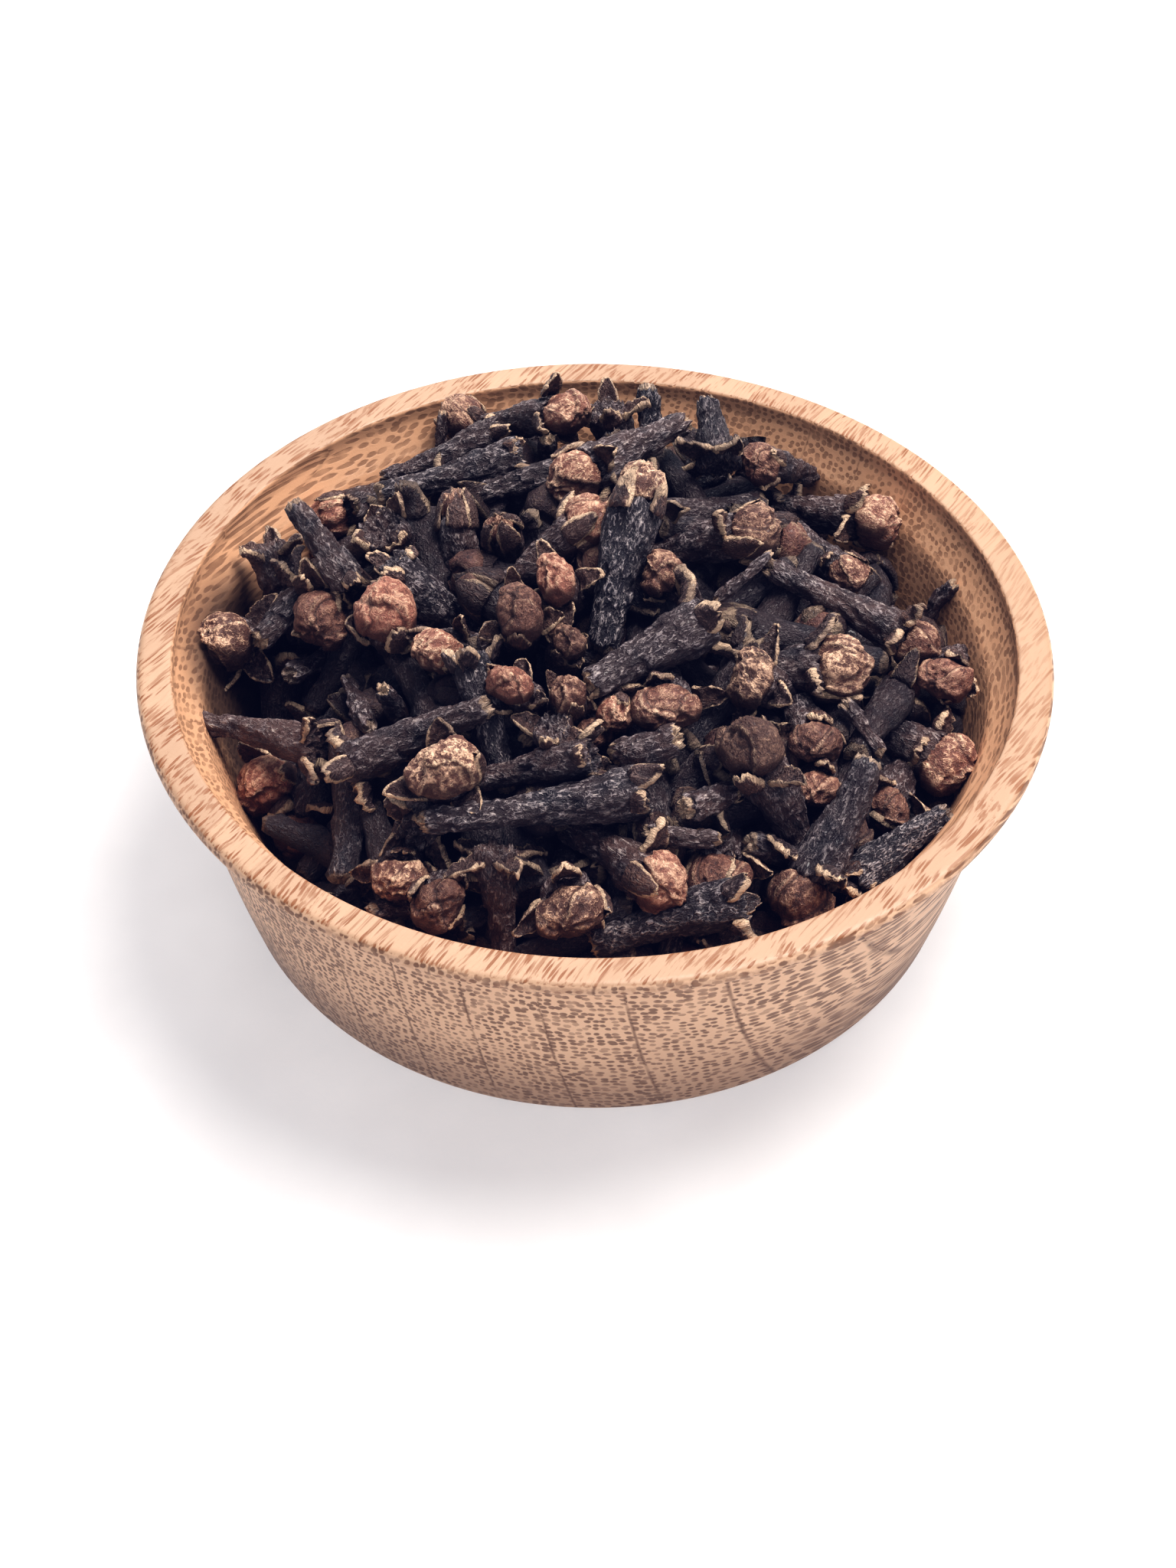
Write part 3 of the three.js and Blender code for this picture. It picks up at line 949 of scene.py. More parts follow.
# Rows of Laid: cloves with their bud, cloves that have lost it, and broken stems
BUDDED = [
    ("capped", 838, 632, -104, 5, 13.5, 4.0, 4.5, 1.5, 0.1, 0.75, 0.15),
    ("hugging", 769, 682, 215, 15, 12, 2.7, 3.9, 0, 0.7, 0.35, 0.75),
    ("curled", 728, 756, -60, 65, 11, 3, 3.7, 0, 0.6, 0.35, 0.9),
    ("half_open", 680, 797, -90, 70, 11, 3.2, 4.2, -0.4, 0.6, 0.02, 0.20),
    ("hugging", 862, 752, -40, 60, 10, 2.8, 3.5, -1.6, 0.6, 0.3, 0.25),
    ("half_open", 985, 692, 195, 30, 12, 3.2, 4.2, 0, 0.6, 0.22, 0.15),
    ("closed", 593, 668, -90, 25, 11, 3.2, 3.5, 0, 0.6, 0.35, 0.2),
    ("closed", 657, 690, -70, 65, 10, 2.8, 3.0, -0.6, 0.6, 0.35, 0.3),
    ("ragged", 748, 626, 30, 25, 12, 3, 4.6, 0, 0.6, 0.6, 0.6),
    ("one_sided", 869, 928, 80, 65, 11, 3, 4.6, 0, 0.6, 0.30, 0.35),
    ("one_sided", 865, 1158, 150, 35, 10, 3, 4.3, 0, 0.9, 0.35, 0.75),
    ("half_open", 744, 1192, 90, 68, 11, 3, 4.7, -0.6, 0.6, 0.40, 0.1),
    ("spread", 1045, 1172, 63, 5, 11.5, 3.6, 5, 1, 0.3, 0.15, 0.2),
    ("one_sided", 974, 978, -62, 25, 11, 3.6, 4.8, 0.5, 0.6, 0.02, 0.0),
    ("half_open", 1063, 1029, 60, 60, 10, 2.6, 3.2, -2, 0.6, 0.15, 0.5),
    ("half_open", 1099, 874, 188, 20, 13, 3.2, 5, 1, 0.6, 0.6, 0.2),
    ("curled", 982, 881, -30, 55, 11, 3, 4, -0.5, 0.6, 0.4, 0.05),
    ("spread", 1244, 1000, 150, 30, 12, 3.1, 4.6, 0, 0.9, 0.5, 0.5),
    ("half_open", 1160, 1058, 60, 60, 10, 3, 3.6, -1.8, 0.6, 0.05, 0.3),
    ("curled", 1200, 845, 152, 5, 13.5, 2.7, 4.2, 2.0, 0.7, 0.3, 0.3),
    ("one_sided", 1147, 679, 168, 25, 12, 2.9, 4.6, 0, 0.6, 0.5, 0.6),
    ("half_open", 1106, 752, 130, 50, 10, 2.8, 3.5, -1.4, 0.6, 0.45, 0.3),
    ("hugging", 994, 605, 0, 60, 10, 2.8, 3.3, -1, 0.6, 0.1, 0.3),
    ("ragged", 1235, 885, 30, 60, 10, 3, 4, -2, 0.6, 0.1, 0.5),
    ("half_open", 425, 675, 30, 30, 11, 2.8, 3.7, 0, 0.6, 0.5, 0.8),
    ("one_sided", 420, 812, 60, 60, 11, 3, 4.6, -0.4, 0.6, 0.05, 0.3),
    ("hugging", 506, 803, -80, 60, 11, 3, 5, 0.5, 0.6, 0.3, 0.95),
    ("half_open", 572, 850, 0, 60, 10, 3, 3.8, -0.5, 0.6, 0.6, 0.7),
    ("half_open", 345, 1028, 20, 72, 11, 3, 4.7, 0.5, 0.6, 0.35, 0.9),
    ("spread", 281, 834, -10, 55, 9, 3, 4.8, 1.2, 0.6, 1.0, 0.1),
    ("half_open", 580, 1006, -60, 70, 11, 3, 5, 0.5, 0.6, 1.0, 0.2),
    ("ragged", 521, 1143, 70, 66, 11, 3, 3.9, 0, 0.6, 0.6, 0.35),
    ("hugging", 575, 1178, 70, 74, 10, 3, 4.2, -1, 0.6, 0.02, 0.15),
    ("curled", 759, 961, 90, 60, 10, 2.8, 3.1, -2, 0.6, 0.05, 0.2),
    ("half_open", 940, 1142, 80, 60, 10, 3, 4.4, -2, 0.6, 0.05, 0.3),
    ("half_open", 736, 539, 180, 50, 11, 3, 3.9, 0, 0.6, 0.45, 0.6),
    ("hugging", 606, 546, -40, 40, 11, 3, 3.9, 0, 0.6, 0.3, 0.3),
    ("hugging", 806, 935, 100, 60, 9, 2.6, 2.6, 0, 0.6, 0.5, 0.8),
    ("ragged", 744, 835, -90, 60, 9, 2.8, 2.9, -0.8, 0.6, 0.12, 0.1),
    ("half_open", 672, 897, -60, 60, 10, 2.8, 3.5, -1.8, 0.6, 0.2, 0.7),
    ("half_open", 751, 906, -80, 60, 9, 2.8, 3.1, -1.6, 0.6, 0.2, 0.25),
    ("ragged", 1058, 975, 100, 60, 10, 3, 3.8, -1.8, 0.6, 0.05, 0.2),
]

BARE = [
    ("bare_curled", 922, 812, 211, -5, 10.5, 4.0, 4.6, 2, 0.35),
    ("bare_short", 512, 742, -34, 25, 9.5, 4.1, 4.4, 1, 0.25),
    ("bare_open", 612, 858, -74, 0, 10.5, 3.1, 4, 1, 0.15),
    ("bare_curled", 452, 1005, 23, -5, 12, 3.1, 4.4, 1, 0.5),
    ("bare_open", 775, 985, 192, 10, 9.5, 2.8, 3.8),
    ("bare_short", 848, 1030, 188, -3, 17, 3.0, 4.6, 1.5, 0.3),
    ("bare_star", 648, 1108, -86, 20, 8.4, 2.8, 3.6, 0, 0.8),
    ("bare_open", 968, 1172, 197, 0, 11.5, 3.3, 4.2, 0, 0.15),
    ("bare_short", 1120, 1155, 35, 0, 9, 3, 3.8, 0, 0.1),
    ("bare_star", 938, 603, 98, 15, 5.6, 3.0, 4.4, 0, 0.2),
    ("bare_short", 501, 689, -60, 60, 10, 3.6, 4.6),
    ("bare_open", 460, 765, 125, -10, 8, 2.7, 3.4),
    ("bare_open", 350, 712, -70, 20, 9, 3, 3.8, 0, 0.9),
    ("bare_star", 409, 783, 215, 5, 5.6, 3.3, 3.6),
    ("bare_open", 415, 975, 170, 0, 11, 2.6, 4.2, 0, 0.9),
    ("bare_open", 540, 1095, 60, 50, 10, 3, 4),
    ("bare_open", 790, 535, -70, 40, 10, 3.2, 4.2),
    ("bare_short", 683, 590, 196, 0, 12.3, 2.8, 3.4, 0.5, 0.35),
    ("bare_short", 655, 560, 203, 0, 10.8, 2.7, 3.4, 0, 0.5),
    ("bare_short", 735, 622, 193, 0, 8, 2.4, 3, 0, 0.3),
    ("bare_open", 722, 955, -80, 50, 9, 2.9, 3.8, -1),
]

STEMS = [
    ("stem", 936, 783, 42, 5, 5.6, 1.3, 1.3, 0.5, 0.5),
    ("stem", 1257, 758, -128, 10, 5.5, 1.8, 1.8),
    ("stem", 1104, 922, -54, 5, 4.4, 1.6, 1.6, -0.5),
    ("stem", 846, 1086, -6, 5, 5.2, 2.0, 2.0),
    ("stem", 846, 510, -92, 10, 6.2, 2.7, 2.7, 0.5, 0.05),
    ("stem", 812, 985, 20, 5, 4.6, 3.6, 3.6, 0.3),
    ("stem", 714, 572, -80, 60, 6, 2.2, 2.2),
    ("stem", 803, 567, -80, 50, 7, 2.2, 2.2),
    ("stem", 383, 882, 30, 60, 9, 2.2, 2.2),
    ("stem", 500, 899, -60, 50, 9, 2.2, 2.2),
    ("stem", 523, 844, 60, 60, 8, 1.9, 1.9),
    ("stem", 685, 966, 40, 50, 7, 1.9, 1.9),
    ("stem", 485, 949, 120, 50, 7, 1.9, 1.9),
    ("stem", 892, 1058, 20, 40, 7, 2.6, 2.6, -1),
    ("stem", 984, 1100, -20, 40, 7, 2.6, 2.6, -1),
    ("stem", 487, 1188, 0, 30, 6, 2.4, 2.4, -0.5),
    ("stem", 578, 539, -90, 20, 5, 1.2, 1.2),
]


class View(NamedTuple):
    """The camera's place and axes, in metres, and its focal length in picture pixels."""

    eye: Vector
    right: Vector
    up: Vector
    ahead: Vector
    focal: float


def camera_view(settings):
    elevation = settings.elevation
    level_up = Vector((0, math.sin(elevation), math.cos(elevation)))
    ahead = Vector((0, math.cos(elevation), -math.sin(elevation)))
    level_right = Vector((1, 0, 0))
    cosine, sine = math.cos(settings.roll), math.sin(settings.roll)
    right = level_right * cosine - level_up * sine
    up = level_right * sine + level_up * cosine
    rim_middle = Vector((0, 0, BOWL_HEIGHT))
    aim = rim_middle - level_right * settings.rim_right - level_up * settings.rim_up
    eye = aim - ahead * settings.distance
    return View(eye, right, up, ahead, settings.lens / SENSOR * PICTURE_HEIGHT)


def sight_line(view, u, v):
    """Direction from the camera through a picture place."""
    across = (u - PICTURE_WIDTH / 2) / view.focal
    down = (v - PICTURE_HEIGHT / 2) / view.focal
    return (view.right * across - view.up * down + view.ahead).normalized()


# The bowl's inner radius at heights above its foot
WALL_HEIGHTS = (3, 4.2, 7, 12, 18.8, 21.3, 22.4, 24, 60)
WALL_RADII = (23.4, 26.2, 27.4, 28.9, 31.3, 33.0, 33.2, 34.4, 34.4)
# The core's width and height as shares of the heap's
CORE_ACROSS = 0.86
CORE_HIGH = 0.64
# A place seen low and further back than this radius comes nearer in steps, and one off the heap lies at
# this share of the bowl's height
BACK_RADIUS = 29.0
BACK_HEADROOM = 4.0
BACK_STEP = 0.3
MISSED_HEIGHT = 0.8
# Shade of a buried clove at the first depth, and the depths between which it grows to 1
LEAST_SHADE = 0.42
SHADE_DEPTHS = (3.0, 6.5)
# A map of the outline's height, square, with this many steps each way
MAP_HALF = 34.0
MAP_STEPS = 69
LAST_CELL = MAP_STEPS - 1.001
ABOVE_ALL = 0.1
WELD = 1e-6


def merged_heap():
    """The packed heap's outline, with the corners of its faces joined."""
    shape = bmesh.new()
    shape.from_mesh(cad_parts["clove_heap"].data)
    bmesh.ops.remove_doubles(shape, verts=shape.verts, dist=WELD)
    return shape


class Heap:
    """The space the cloves fill, in millimetres: the outline of the heap and the core under it."""

    def __init__(self):
        shape = merged_heap()
        self.surface = BVHTree.FromBMesh(shape)
        shape.free()
        steps = np.linspace(-MAP_HALF, MAP_HALF, MAP_STEPS)
        self.tops = np.full((MAP_STEPS, MAP_STEPS), np.nan)
        for row, y in enumerate(steps):
            for column, x in enumerate(steps):
                found = self.surface.ray_cast(Vector((x * MM, y * MM, ABOVE_ALL)), Vector((0, 0, -1)))[0]
                if found:
                    self.tops[row, column] = found.z / MM
        self.tops = np.where(np.isnan(self.tops), np.nanmin(self.tops), self.tops)

    def top(self, x, y):
        """Height of the heap's outline over places."""
        cells = ((value + MAP_HALF) / (2 * MAP_HALF) * (MAP_STEPS - 1) for value in (x, y))
        column, row = (np.clip(cell, 0, LAST_CELL) for cell in cells)
        left, low = column.astype(int), row.astype(int)
        a, b = column - left, row - low
        return ((1 - a) * (1 - b) * self.tops[low, left] + a * (1 - b) * self.tops[low, left + 1]
                + (1 - a) * b * self.tops[low + 1, left] + a * b * self.tops[low + 1, left + 1])

    def core_top(self, x, y):
        foot = HEAP_FOOT / MM
        return foot + CORE_HIGH * (self.top(x / CORE_ACROSS, y / CORE_ACROSS) - foot)

    def depth_share(self, place):
        """How deep a place lies under the heap's outline: from LEAST_SHADE near the top to 1 well below."""
        below = self.top(place[:1], place[1:2])[0] - place[2]
        return float(np.interp(below, SHADE_DEPTHS, (LEAST_SHADE, 1.0)))

    def seen(self, view, u, v):
        """The place on the heap's outline that a picture place shows, and the direction it is seen in."""
        line = sight_line(view, u, v)
        found = self.surface.ray_cast(view.eye, line)[0]
        if found is None:
            found = view.eye + line * ((MISSED_HEIGHT * BOWL_HEIGHT - view.eye.z) / line.z)
        back = math.sqrt(max((BACK_RADIUS * MM) ** 2 - found.x ** 2, 0))
        while found.y > back > 0 and found.z < HEAP_TOP - BACK_HEADROOM * MM:
            found = found - line * BACK_STEP * MM
        return found, line


class Clove:
    """One clove's line from cut end to head, with the sizes and finish that its mesh takes."""

    def __init__(self, laid, tail, head, sight, anchored):
        self.laid = laid
        self.tail = np.array(tail, float)
        self.head = np.array(head, float)
        self.sight = np.array(sight, float)
        self.anchored = anchored
        self.shade = 0.0


# Depth of a clove's head under the heap's outline, along the line of sight
HEAD_DEPTH = 1.7


def hand_laid(rows, heap, view):
    """Cloves that show, each on the heap's outline where its picture place says."""
    cloves = []
    for laid in (Laid(*row) for row in rows):
        found, line = heap.seen(view, laid.u, laid.v)
        head = found / MM + line * (HEAD_DEPTH - laid.lift)
        swing, dip = math.radians(laid.swing), math.radians(laid.dip)
        flat = view.right * math.cos(swing) + view.up * math.sin(swing)
        stem = flat * math.cos(dip) + view.ahead * math.sin(dip)
        cloves.append(Clove(laid, head + stem * laid.length, head, line, True))
    return cloves


# Buried cloves: how far out, how far under the outline and over the core, and their sizes and colours
BURIED_RADIUS = 30.0
BURIED_DEPTH = 3.0
ABOVE_CORE = (1.5, 2.0)
BURIED_SLOPE = 32
BURIED_LENGTH = (10, 13)
BURIED_GIRTH = (2.8, 3.4)
BURIED_BUD = (3.8, 4.8)
BURIED_PALE = (0.05, 0.5)
BURIED_RED = (0.2, 0.9)


def buried(count, heap, rng):
    """Cloves packed at random between the core and the ones that show."""
    cloves = []
    while len(cloves) < count:
        radius = BURIED_RADIUS * math.sqrt(rng.random())
        angle = rng.uniform(0, 2 * math.pi)
        x, y = radius * math.cos(angle), radius * math.sin(angle)
        low = float(heap.core_top(np.array([x]), np.array([y]))[0])
        high = float(heap.top(np.array([x]), np.array([y]))[0]) - BURIED_DEPTH
        z = rng.uniform(low + ABOVE_CORE[0], max(high, low + ABOVE_CORE[1]))
        turn = rng.uniform(0, 2 * math.pi)
        slope = math.radians(rng.uniform(-BURIED_SLOPE, BURIED_SLOPE))
        along = Vector((math.cos(turn) * math.cos(slope), math.sin(turn) * math.cos(slope), math.sin(slope)))
        length = rng.uniform(*BURIED_LENGTH)
        name = rng.choice(sorted(PATTERNS))
        laid = Laid(name, 0, 0, 0, 0, length, girth=rng.uniform(*BURIED_GIRTH), bud=rng.uniform(*BURIED_BUD),
                    pale=rng.uniform(*BURIED_PALE), red=rng.uniform(*BURIED_RED))
        middle, half = Vector((x, y, z)), along * length / 2
        cloves.append(Clove(laid, middle - half, middle + half, (0, 0, 1), False))
    return cloves


# Settling, in millimetres. Each clove is a row of beads, at these shares of its length.
BEADS = 8
BEAD_SHARES = np.linspace(0.06, 1.0, BEADS)
STEM_SWELL = ((0, 0.5, 0.9, 1.0), (0.62, 0.78, 1.10, 1.12))
STEM_BEAD = 0.8
BUD_BEAD = 0.97
SETTLE_PASSES = 90
# Pairs closer than the margin are looked for again every few passes, block by block
LOOK_EVERY = 6
LOOK_MARGIN = 1.2
BLOCK = 400
# How readily a clove that shows gives way, where a buried one has 1
ANCHORED_EASE = 0.45
# Share of a bead's radius that it rests above the core, cover over a buried bead, room under the very top
ON_CORE = 0.4
COVER = 2.2
HEADROOM = 0.4
# Each pass lets all beads sink a little, and moves a clove by a share of what its pushed beads ask for
SINK_STEP = 0.015
STIRRED = 0.02
STEP_SHARE = 0.9
LEAST_WEIGHT = 1.5
# Shares of its way that a clove which shows keeps, along the line of sight and across it
KEPT_ALONG = 0.985
KEPT_ACROSS = 0.72
NOUGHT = 1e-9


def bead_radii(laid):
    """Radii of the beads that stand for a clove while the heap settles, from cut end to head."""
    if "stem" in laid.pattern:
        return np.full(BEADS, laid.girth / 2 * STEM_BEAD)
    radii = laid.girth / 2 * np.interp(BEAD_SHARES, *STEM_SWELL)
    if "bare" not in laid.pattern:
        radii[-1] = laid.bud / 2 * BUD_BEAD
    return radii


def near_pairs(middles, radii, owners):
    """Pairs of beads of different cloves that are close to touching."""
    first, second = [], []
    for start in range(0, len(middles), BLOCK):
        block = slice(start, start + BLOCK)
        gaps = np.linalg.norm(middles[block, None] - middles[None], axis=2)
        rows, columns = np.nonzero(gaps < radii[block, None] + radii[None] + LOOK_MARGIN)
        rows += start
        keep = (columns > rows) & (owners[rows] != owners[columns])
        first.append(rows[keep])
        second.append(columns[keep])
    return np.concatenate(first), np.concatenate(second)


def pushed_apart(middles, radii, ease, one, two):
    """How far overlapping beads push each other."""
    push = np.zeros_like(middles)
    gap = middles[one] - middles[two]
    distance = np.linalg.norm(gap, axis=1) + NOUGHT
    overlap = np.clip(radii[one] + radii[two] - distance, 0, None)
    way = gap / distance[:, None] * overlap[:, None]
    share = (ease[one] / (ease[one] + ease[two]))[:, None]
    np.add.at(push, one, way * share)
    np.add.at(push, two, -way * (1 - share))
    return push


def kept_inside(push, middles, radii, free, heap):
    """Adds what keeps beads in the bowl, on the core and under the top, and buried ones under cover."""
    spread = np.linalg.norm(middles[:, :2], axis=1) + NOUGHT
    room = np.interp(middles[:, 2], WALL_HEIGHTS, WALL_RADII) - radii
    outside = np.clip(spread - room, 0, None)
    push[:, :2] -= middles[:, :2] / spread[:, None] * outside[:, None]
    low = heap.core_top(middles[:, 0], middles[:, 1]) + ON_CORE * radii
    push[:, 2] += np.clip(low - middles[:, 2], 0, None)
    cover = heap.top(middles[:, 0], middles[:, 1]) - COVER - radii
    push[:, 2] -= np.where(free, np.clip(middles[:, 2] - cover, 0, None), 0)
    top = HEAP_TOP / MM - HEADROOM - radii
    push[:, 2] -= np.clip(middles[:, 2] - top, 0, None)
    push[:, 2] -= SINK_STEP


def settle(cloves, heap):
    """Pushes overlapping cloves apart, and keeps them in the bowl and on the core.
    A clove that shows moves mostly along the line of sight, so it keeps its place in the picture."""
    tails = np.array([clove.tail for clove in cloves])
    heads = np.array([clove.head for clove in cloves])
    lengths = np.linalg.norm(heads - tails, axis=1)
    starts = tails.copy(), heads.copy()
    sights = np.array([clove.sight for clove in cloves])
    anchored = np.array([clove.anchored for clove in cloves])
    radii = np.concatenate([bead_radii(clove.laid) for clove in cloves])
    shares = np.tile(BEAD_SHARES, len(cloves))
    owners = np.repeat(np.arange(len(cloves)), BEADS)
    ease = np.where(anchored, ANCHORED_EASE, 1.0)[owners]
    free = ~anchored[owners]
    for number in range(SETTLE_PASSES):
        middles = tails[owners] * (1 - shares[:, None]) + heads[owners] * shares[:, None]
        if number % LOOK_EVERY == 0:
            one, two = near_pairs(middles, radii, owners)
        push = pushed_apart(middles, radii, ease, one, two)
        kept_inside(push, middles, radii, free, heap)
        for ends, part, first in ((tails, 1 - shares, starts[0]), (heads, shares, starts[1])):
            total = np.zeros_like(ends)
            weight = np.zeros(len(ends))
            np.add.at(total, owners, push * part[:, None])
            np.add.at(weight, owners, part * (np.abs(push).sum(1) > STIRRED))
            ends += STEP_SHARE * total / np.maximum(weight, LEAST_WEIGHT)[:, None]
            moved = ends - first
            along = (moved * sights).sum(1, keepdims=True) * sights
            held = first + KEPT_ALONG * along + KEPT_ACROSS * (moved - along)
            ends[anchored] = held[anchored]
        middle = (tails + heads) / 2
        line = heads - tails
        line *= (lengths / np.linalg.norm(line, axis=1))[:, None] / 2
        tails, heads = middle - line, middle + line
    for clove, tail, head in zip(cloves, tails, heads):
        clove.tail, clove.head = tail, head


# ---------------------------------------------------------------- cloves


SEED = 7
# A copy's bud beside the size laid down, and the random squeeze and stretch of its head
BUD_SHARE = 0.92
STEM_END = CALYX - LOBE_SINK
SQUEEZE = (0.89, 1.12)
HEAD_STRETCH = (0.86, 1.14)
# Sizes of the lumps and wrinkles, in millimetres, and the texture values that leave the skin as it is
LUMP_SIZE = 2.2
LUMP_LEVEL = 0.5
WRINKLE_SIZE = 0.62
WRINKLE_LEVEL = 0.35
# Wrinkles are made on a shortened clove, so that they run lengthwise
LENGTHWISE = 0.32
# Each copy takes its lumps from its own place in the textures: steps between places, and how many in a row
AWAY = (17.0, 23.0, 31.0)
ROW = 9
ROWS = 5
LEAST_CREASED = 0.2
RELIEF_GAIN = 3.0
RELIEF_LIMIT = 1.5
FRESH_CUTS = (0.35, 0.7, 1.0)
# Buds this pale go with the tan cloves, and of the others those this red with the red ones
PALE_FROM = 0.45
RED_FROM = 0.6
NUMBER_STEP = 30
CORE_LUMP_SIZE = 4.0 * MM
CORE_LUMP_DEPTH = 1.2 * MM
CORE_LUMP_LEVEL = 0.8


def fit_copy(pattern, laid, name, rng):
    """A copy of a pattern clove with its own mesh, drawn to the length, girth and bud of the one laid."""
    copy = pattern.copy()
    copy.data = pattern.data.copy()
    copy.name = name
    bpy.context.scene.collection.objects.link(copy)
    girth_scale = laid.girth / PATTERN_GIRTH
    head_scale = girth_scale if laid.pattern == "stem" else laid.bud / PATTERN_BUD * BUD_SHARE
    above = BUD_SINK * laid.bud / 2 if PATTERNS[laid.pattern].bud else 0.0
    stem_scale = (laid.length - above) / CALYX
    found = on_points(copy.data, "co")
    share = np.clip(found[:, 2] / CALYX, 0, 1)
    across = girth_scale + (head_scale - girth_scale) * share ** 4
    found[:, :2] *= across[:, None]
    squeeze = 1 + (rng.uniform(*SQUEEZE) - 1) * share ** 4
    found[:, 0] *= squeeze
    found[:, 1] /= squeeze
    low = np.minimum(found[:, 2], STEM_END)
    high = found[:, 2] - low
    found[:, 2] = low * stem_scale + high * head_scale * rng.uniform(*HEAD_STRETCH)
    copy.data.vertices.foreach_set("co", found.ravel())
    copy.data.update()
    return copy


def cloud_texture(name, size, creased=False):
    """Cloud noise of a given size, with sharp creases where it is asked for."""
    texture = bpy.data.textures.new(name, "CLOUDS")
    texture.noise_scale = size
    texture.noise_depth = 2
    texture.noise_type = "HARD_NOISE" if creased else "SOFT_NOISE"
    return texture


def displaced(copy, texture, strength, middle, group):
    """Moves the points of a group along their normals by a texture read at their own places."""
    apply_modifier(copy, "DISPLACE", texture=texture, strength=strength, texture_coords="LOCAL",
                   mid_level=middle, vertex_group=group)


def weather(copy, number, settings, textures):
    """Lumps and lengthwise wrinkles, different on every copy, and the attributes that its finish reads."""
    away = Vector((AWAY[0] * (number % ROW), AWAY[1] * (number // ROW), AWAY[2] * (number % ROWS)))
    plain = on_points(copy.data, "co")
    creased = group_weights(copy, "creased")
    copy.data.transform(Matrix.Translation(away))
    displaced(copy, textures["lumps"], settings.lump_depth / MM, LUMP_LEVEL, "firm")
    copy.data.transform(Matrix.Diagonal((1, 1, LENGTHWISE, 1)))
    before = on_points(copy.data, "co")
    facing = on_points(copy.data, "normal")
    depth = settings.wrinkle_depth / MM
    displaced(copy, textures["wrinkles"], -depth, WRINKLE_LEVEL, "creased")
    risen = ((on_points(copy.data, "co") - before) * facing).sum(1)
    copy.data.transform(Matrix.Diagonal((1, 1, 1 / LENGTHWISE, 1)))
    copy.data.transform(Matrix.Translation(-away))
    relief = RELIEF_GAIN * risen / (depth * np.maximum(creased, LEAST_CREASED))
    store(copy.data, "relief", np.clip(relief - relief.mean(), -RELIEF_LIMIT, RELIEF_LIMIT))
    store(copy.data, "own_place", plain + np.array(away), "FLOAT_VECTOR", "vector")


def colour_copy(copy, laid, shade, rng):
    """Stores the shares of a clove's colours on its points."""
    shares = {"pale": laid.pale, "red": laid.red, "shade": shade, "tone": rng.random(), "warmth": laid.warm,
              "fresh_cut": rng.choice(FRESH_CUTS)}
    for name, share in shares.items():
        store(copy.data, name, np.full(len(copy.data.vertices), share))


def lay_copy(copy, clove, rng):
    """Turns a copy to lie along its clove's line, and brings it to metres."""
    tail, head = Vector(clove.tail), Vector(clove.head)
    turn = (head - tail).to_track_quat("Z", "Y").to_matrix().to_4x4()
    roll = Matrix.Rotation(rng.uniform(0, 2 * math.pi), 4, "Z")
    copy.data.transform(Matrix.Scale(MM, 4) @ Matrix.Translation(tail) @ turn @ roll)


def make_cloves(name, cloves, patterns, settings, textures, rng, first_number):
    """Copies, weathers, colours and lays the cloves of one kind, and joins them into one piece."""
    copies = []
    for number, clove in enumerate(cloves):
        copy = fit_copy(patterns[clove.laid.pattern], clove.laid, f"{name}_{number}", rng)
        weather(copy, first_number + number, settings, textures)
        colour_copy(copy, clove.laid, clove.shade, rng)
        lay_copy(copy, clove, rng)
        copies.append(copy)
    whole = joined(name, copies)
    whole.vertex_groups.clear()
    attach(whole, BODY)
    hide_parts("clove_heap")


class CLOVES_OT_cloves(bpy.types.Operator):
    """Models the kinds of clove, settles the heap and lays every clove in it."""

    bl_idname = "cloves.cloves"
    bl_label = "Cloves"

    def execute(self, context):
        settings = context.scene.clove_settings
        rng = random.Random(SEED)
        wrinkles = dry_wrinkles()
        materials = (clove_skin(settings, wrinkles), bud_skin(settings, wrinkles))
        fine, plain = ({name: clove_pattern(name, pattern, materials, fineness)
                        for name, pattern in PATTERNS.items()} for fineness in (FINE, COARSE))
        textures = {"lumps": cloud_texture("clove_lumps", LUMP_SIZE),
                    "wrinkles": cloud_texture("clove_wrinkles", WRINKLE_SIZE, creased=True)}
        heap = Heap()
        view = camera_view(context.scene.stage_settings)
        budded, bare, stems = (hand_laid(rows, heap, view) for rows in (BUDDED, BARE, STEMS))
        hidden = buried(settings.buried, heap, rng)
        settle(budded + bare + stems + hidden, heap)
        for clove in hidden:
            clove.shade = heap.depth_share((clove.tail + clove.head) / 2)
        tan = [clove for clove in budded if clove.laid.pale >= PALE_FROM]
        darker = [clove for clove in budded if clove.laid.pale < PALE_FROM]
        red = [clove for clove in darker if clove.laid.red >= RED_FROM]
        brown = [clove for clove in darker if clove.laid.red < RED_FROM]
        kinds = (("tan_cloves", tan, fine), ("red_cloves", red, fine), ("brown_cloves", brown, fine),
                 ("bare_cloves", bare, fine), ("broken_stems", stems, fine), ("buried_cloves", hidden, plain))
        for number, (name, cloves, patterns) in enumerate(kinds):
            make_cloves(name, cloves, patterns, settings, textures, rng, NUMBER_STEP * number)
        for pattern in [*fine.values(), *plain.values()]:
            bpy.data.objects.remove(pattern)
        return {"FINISHED"}


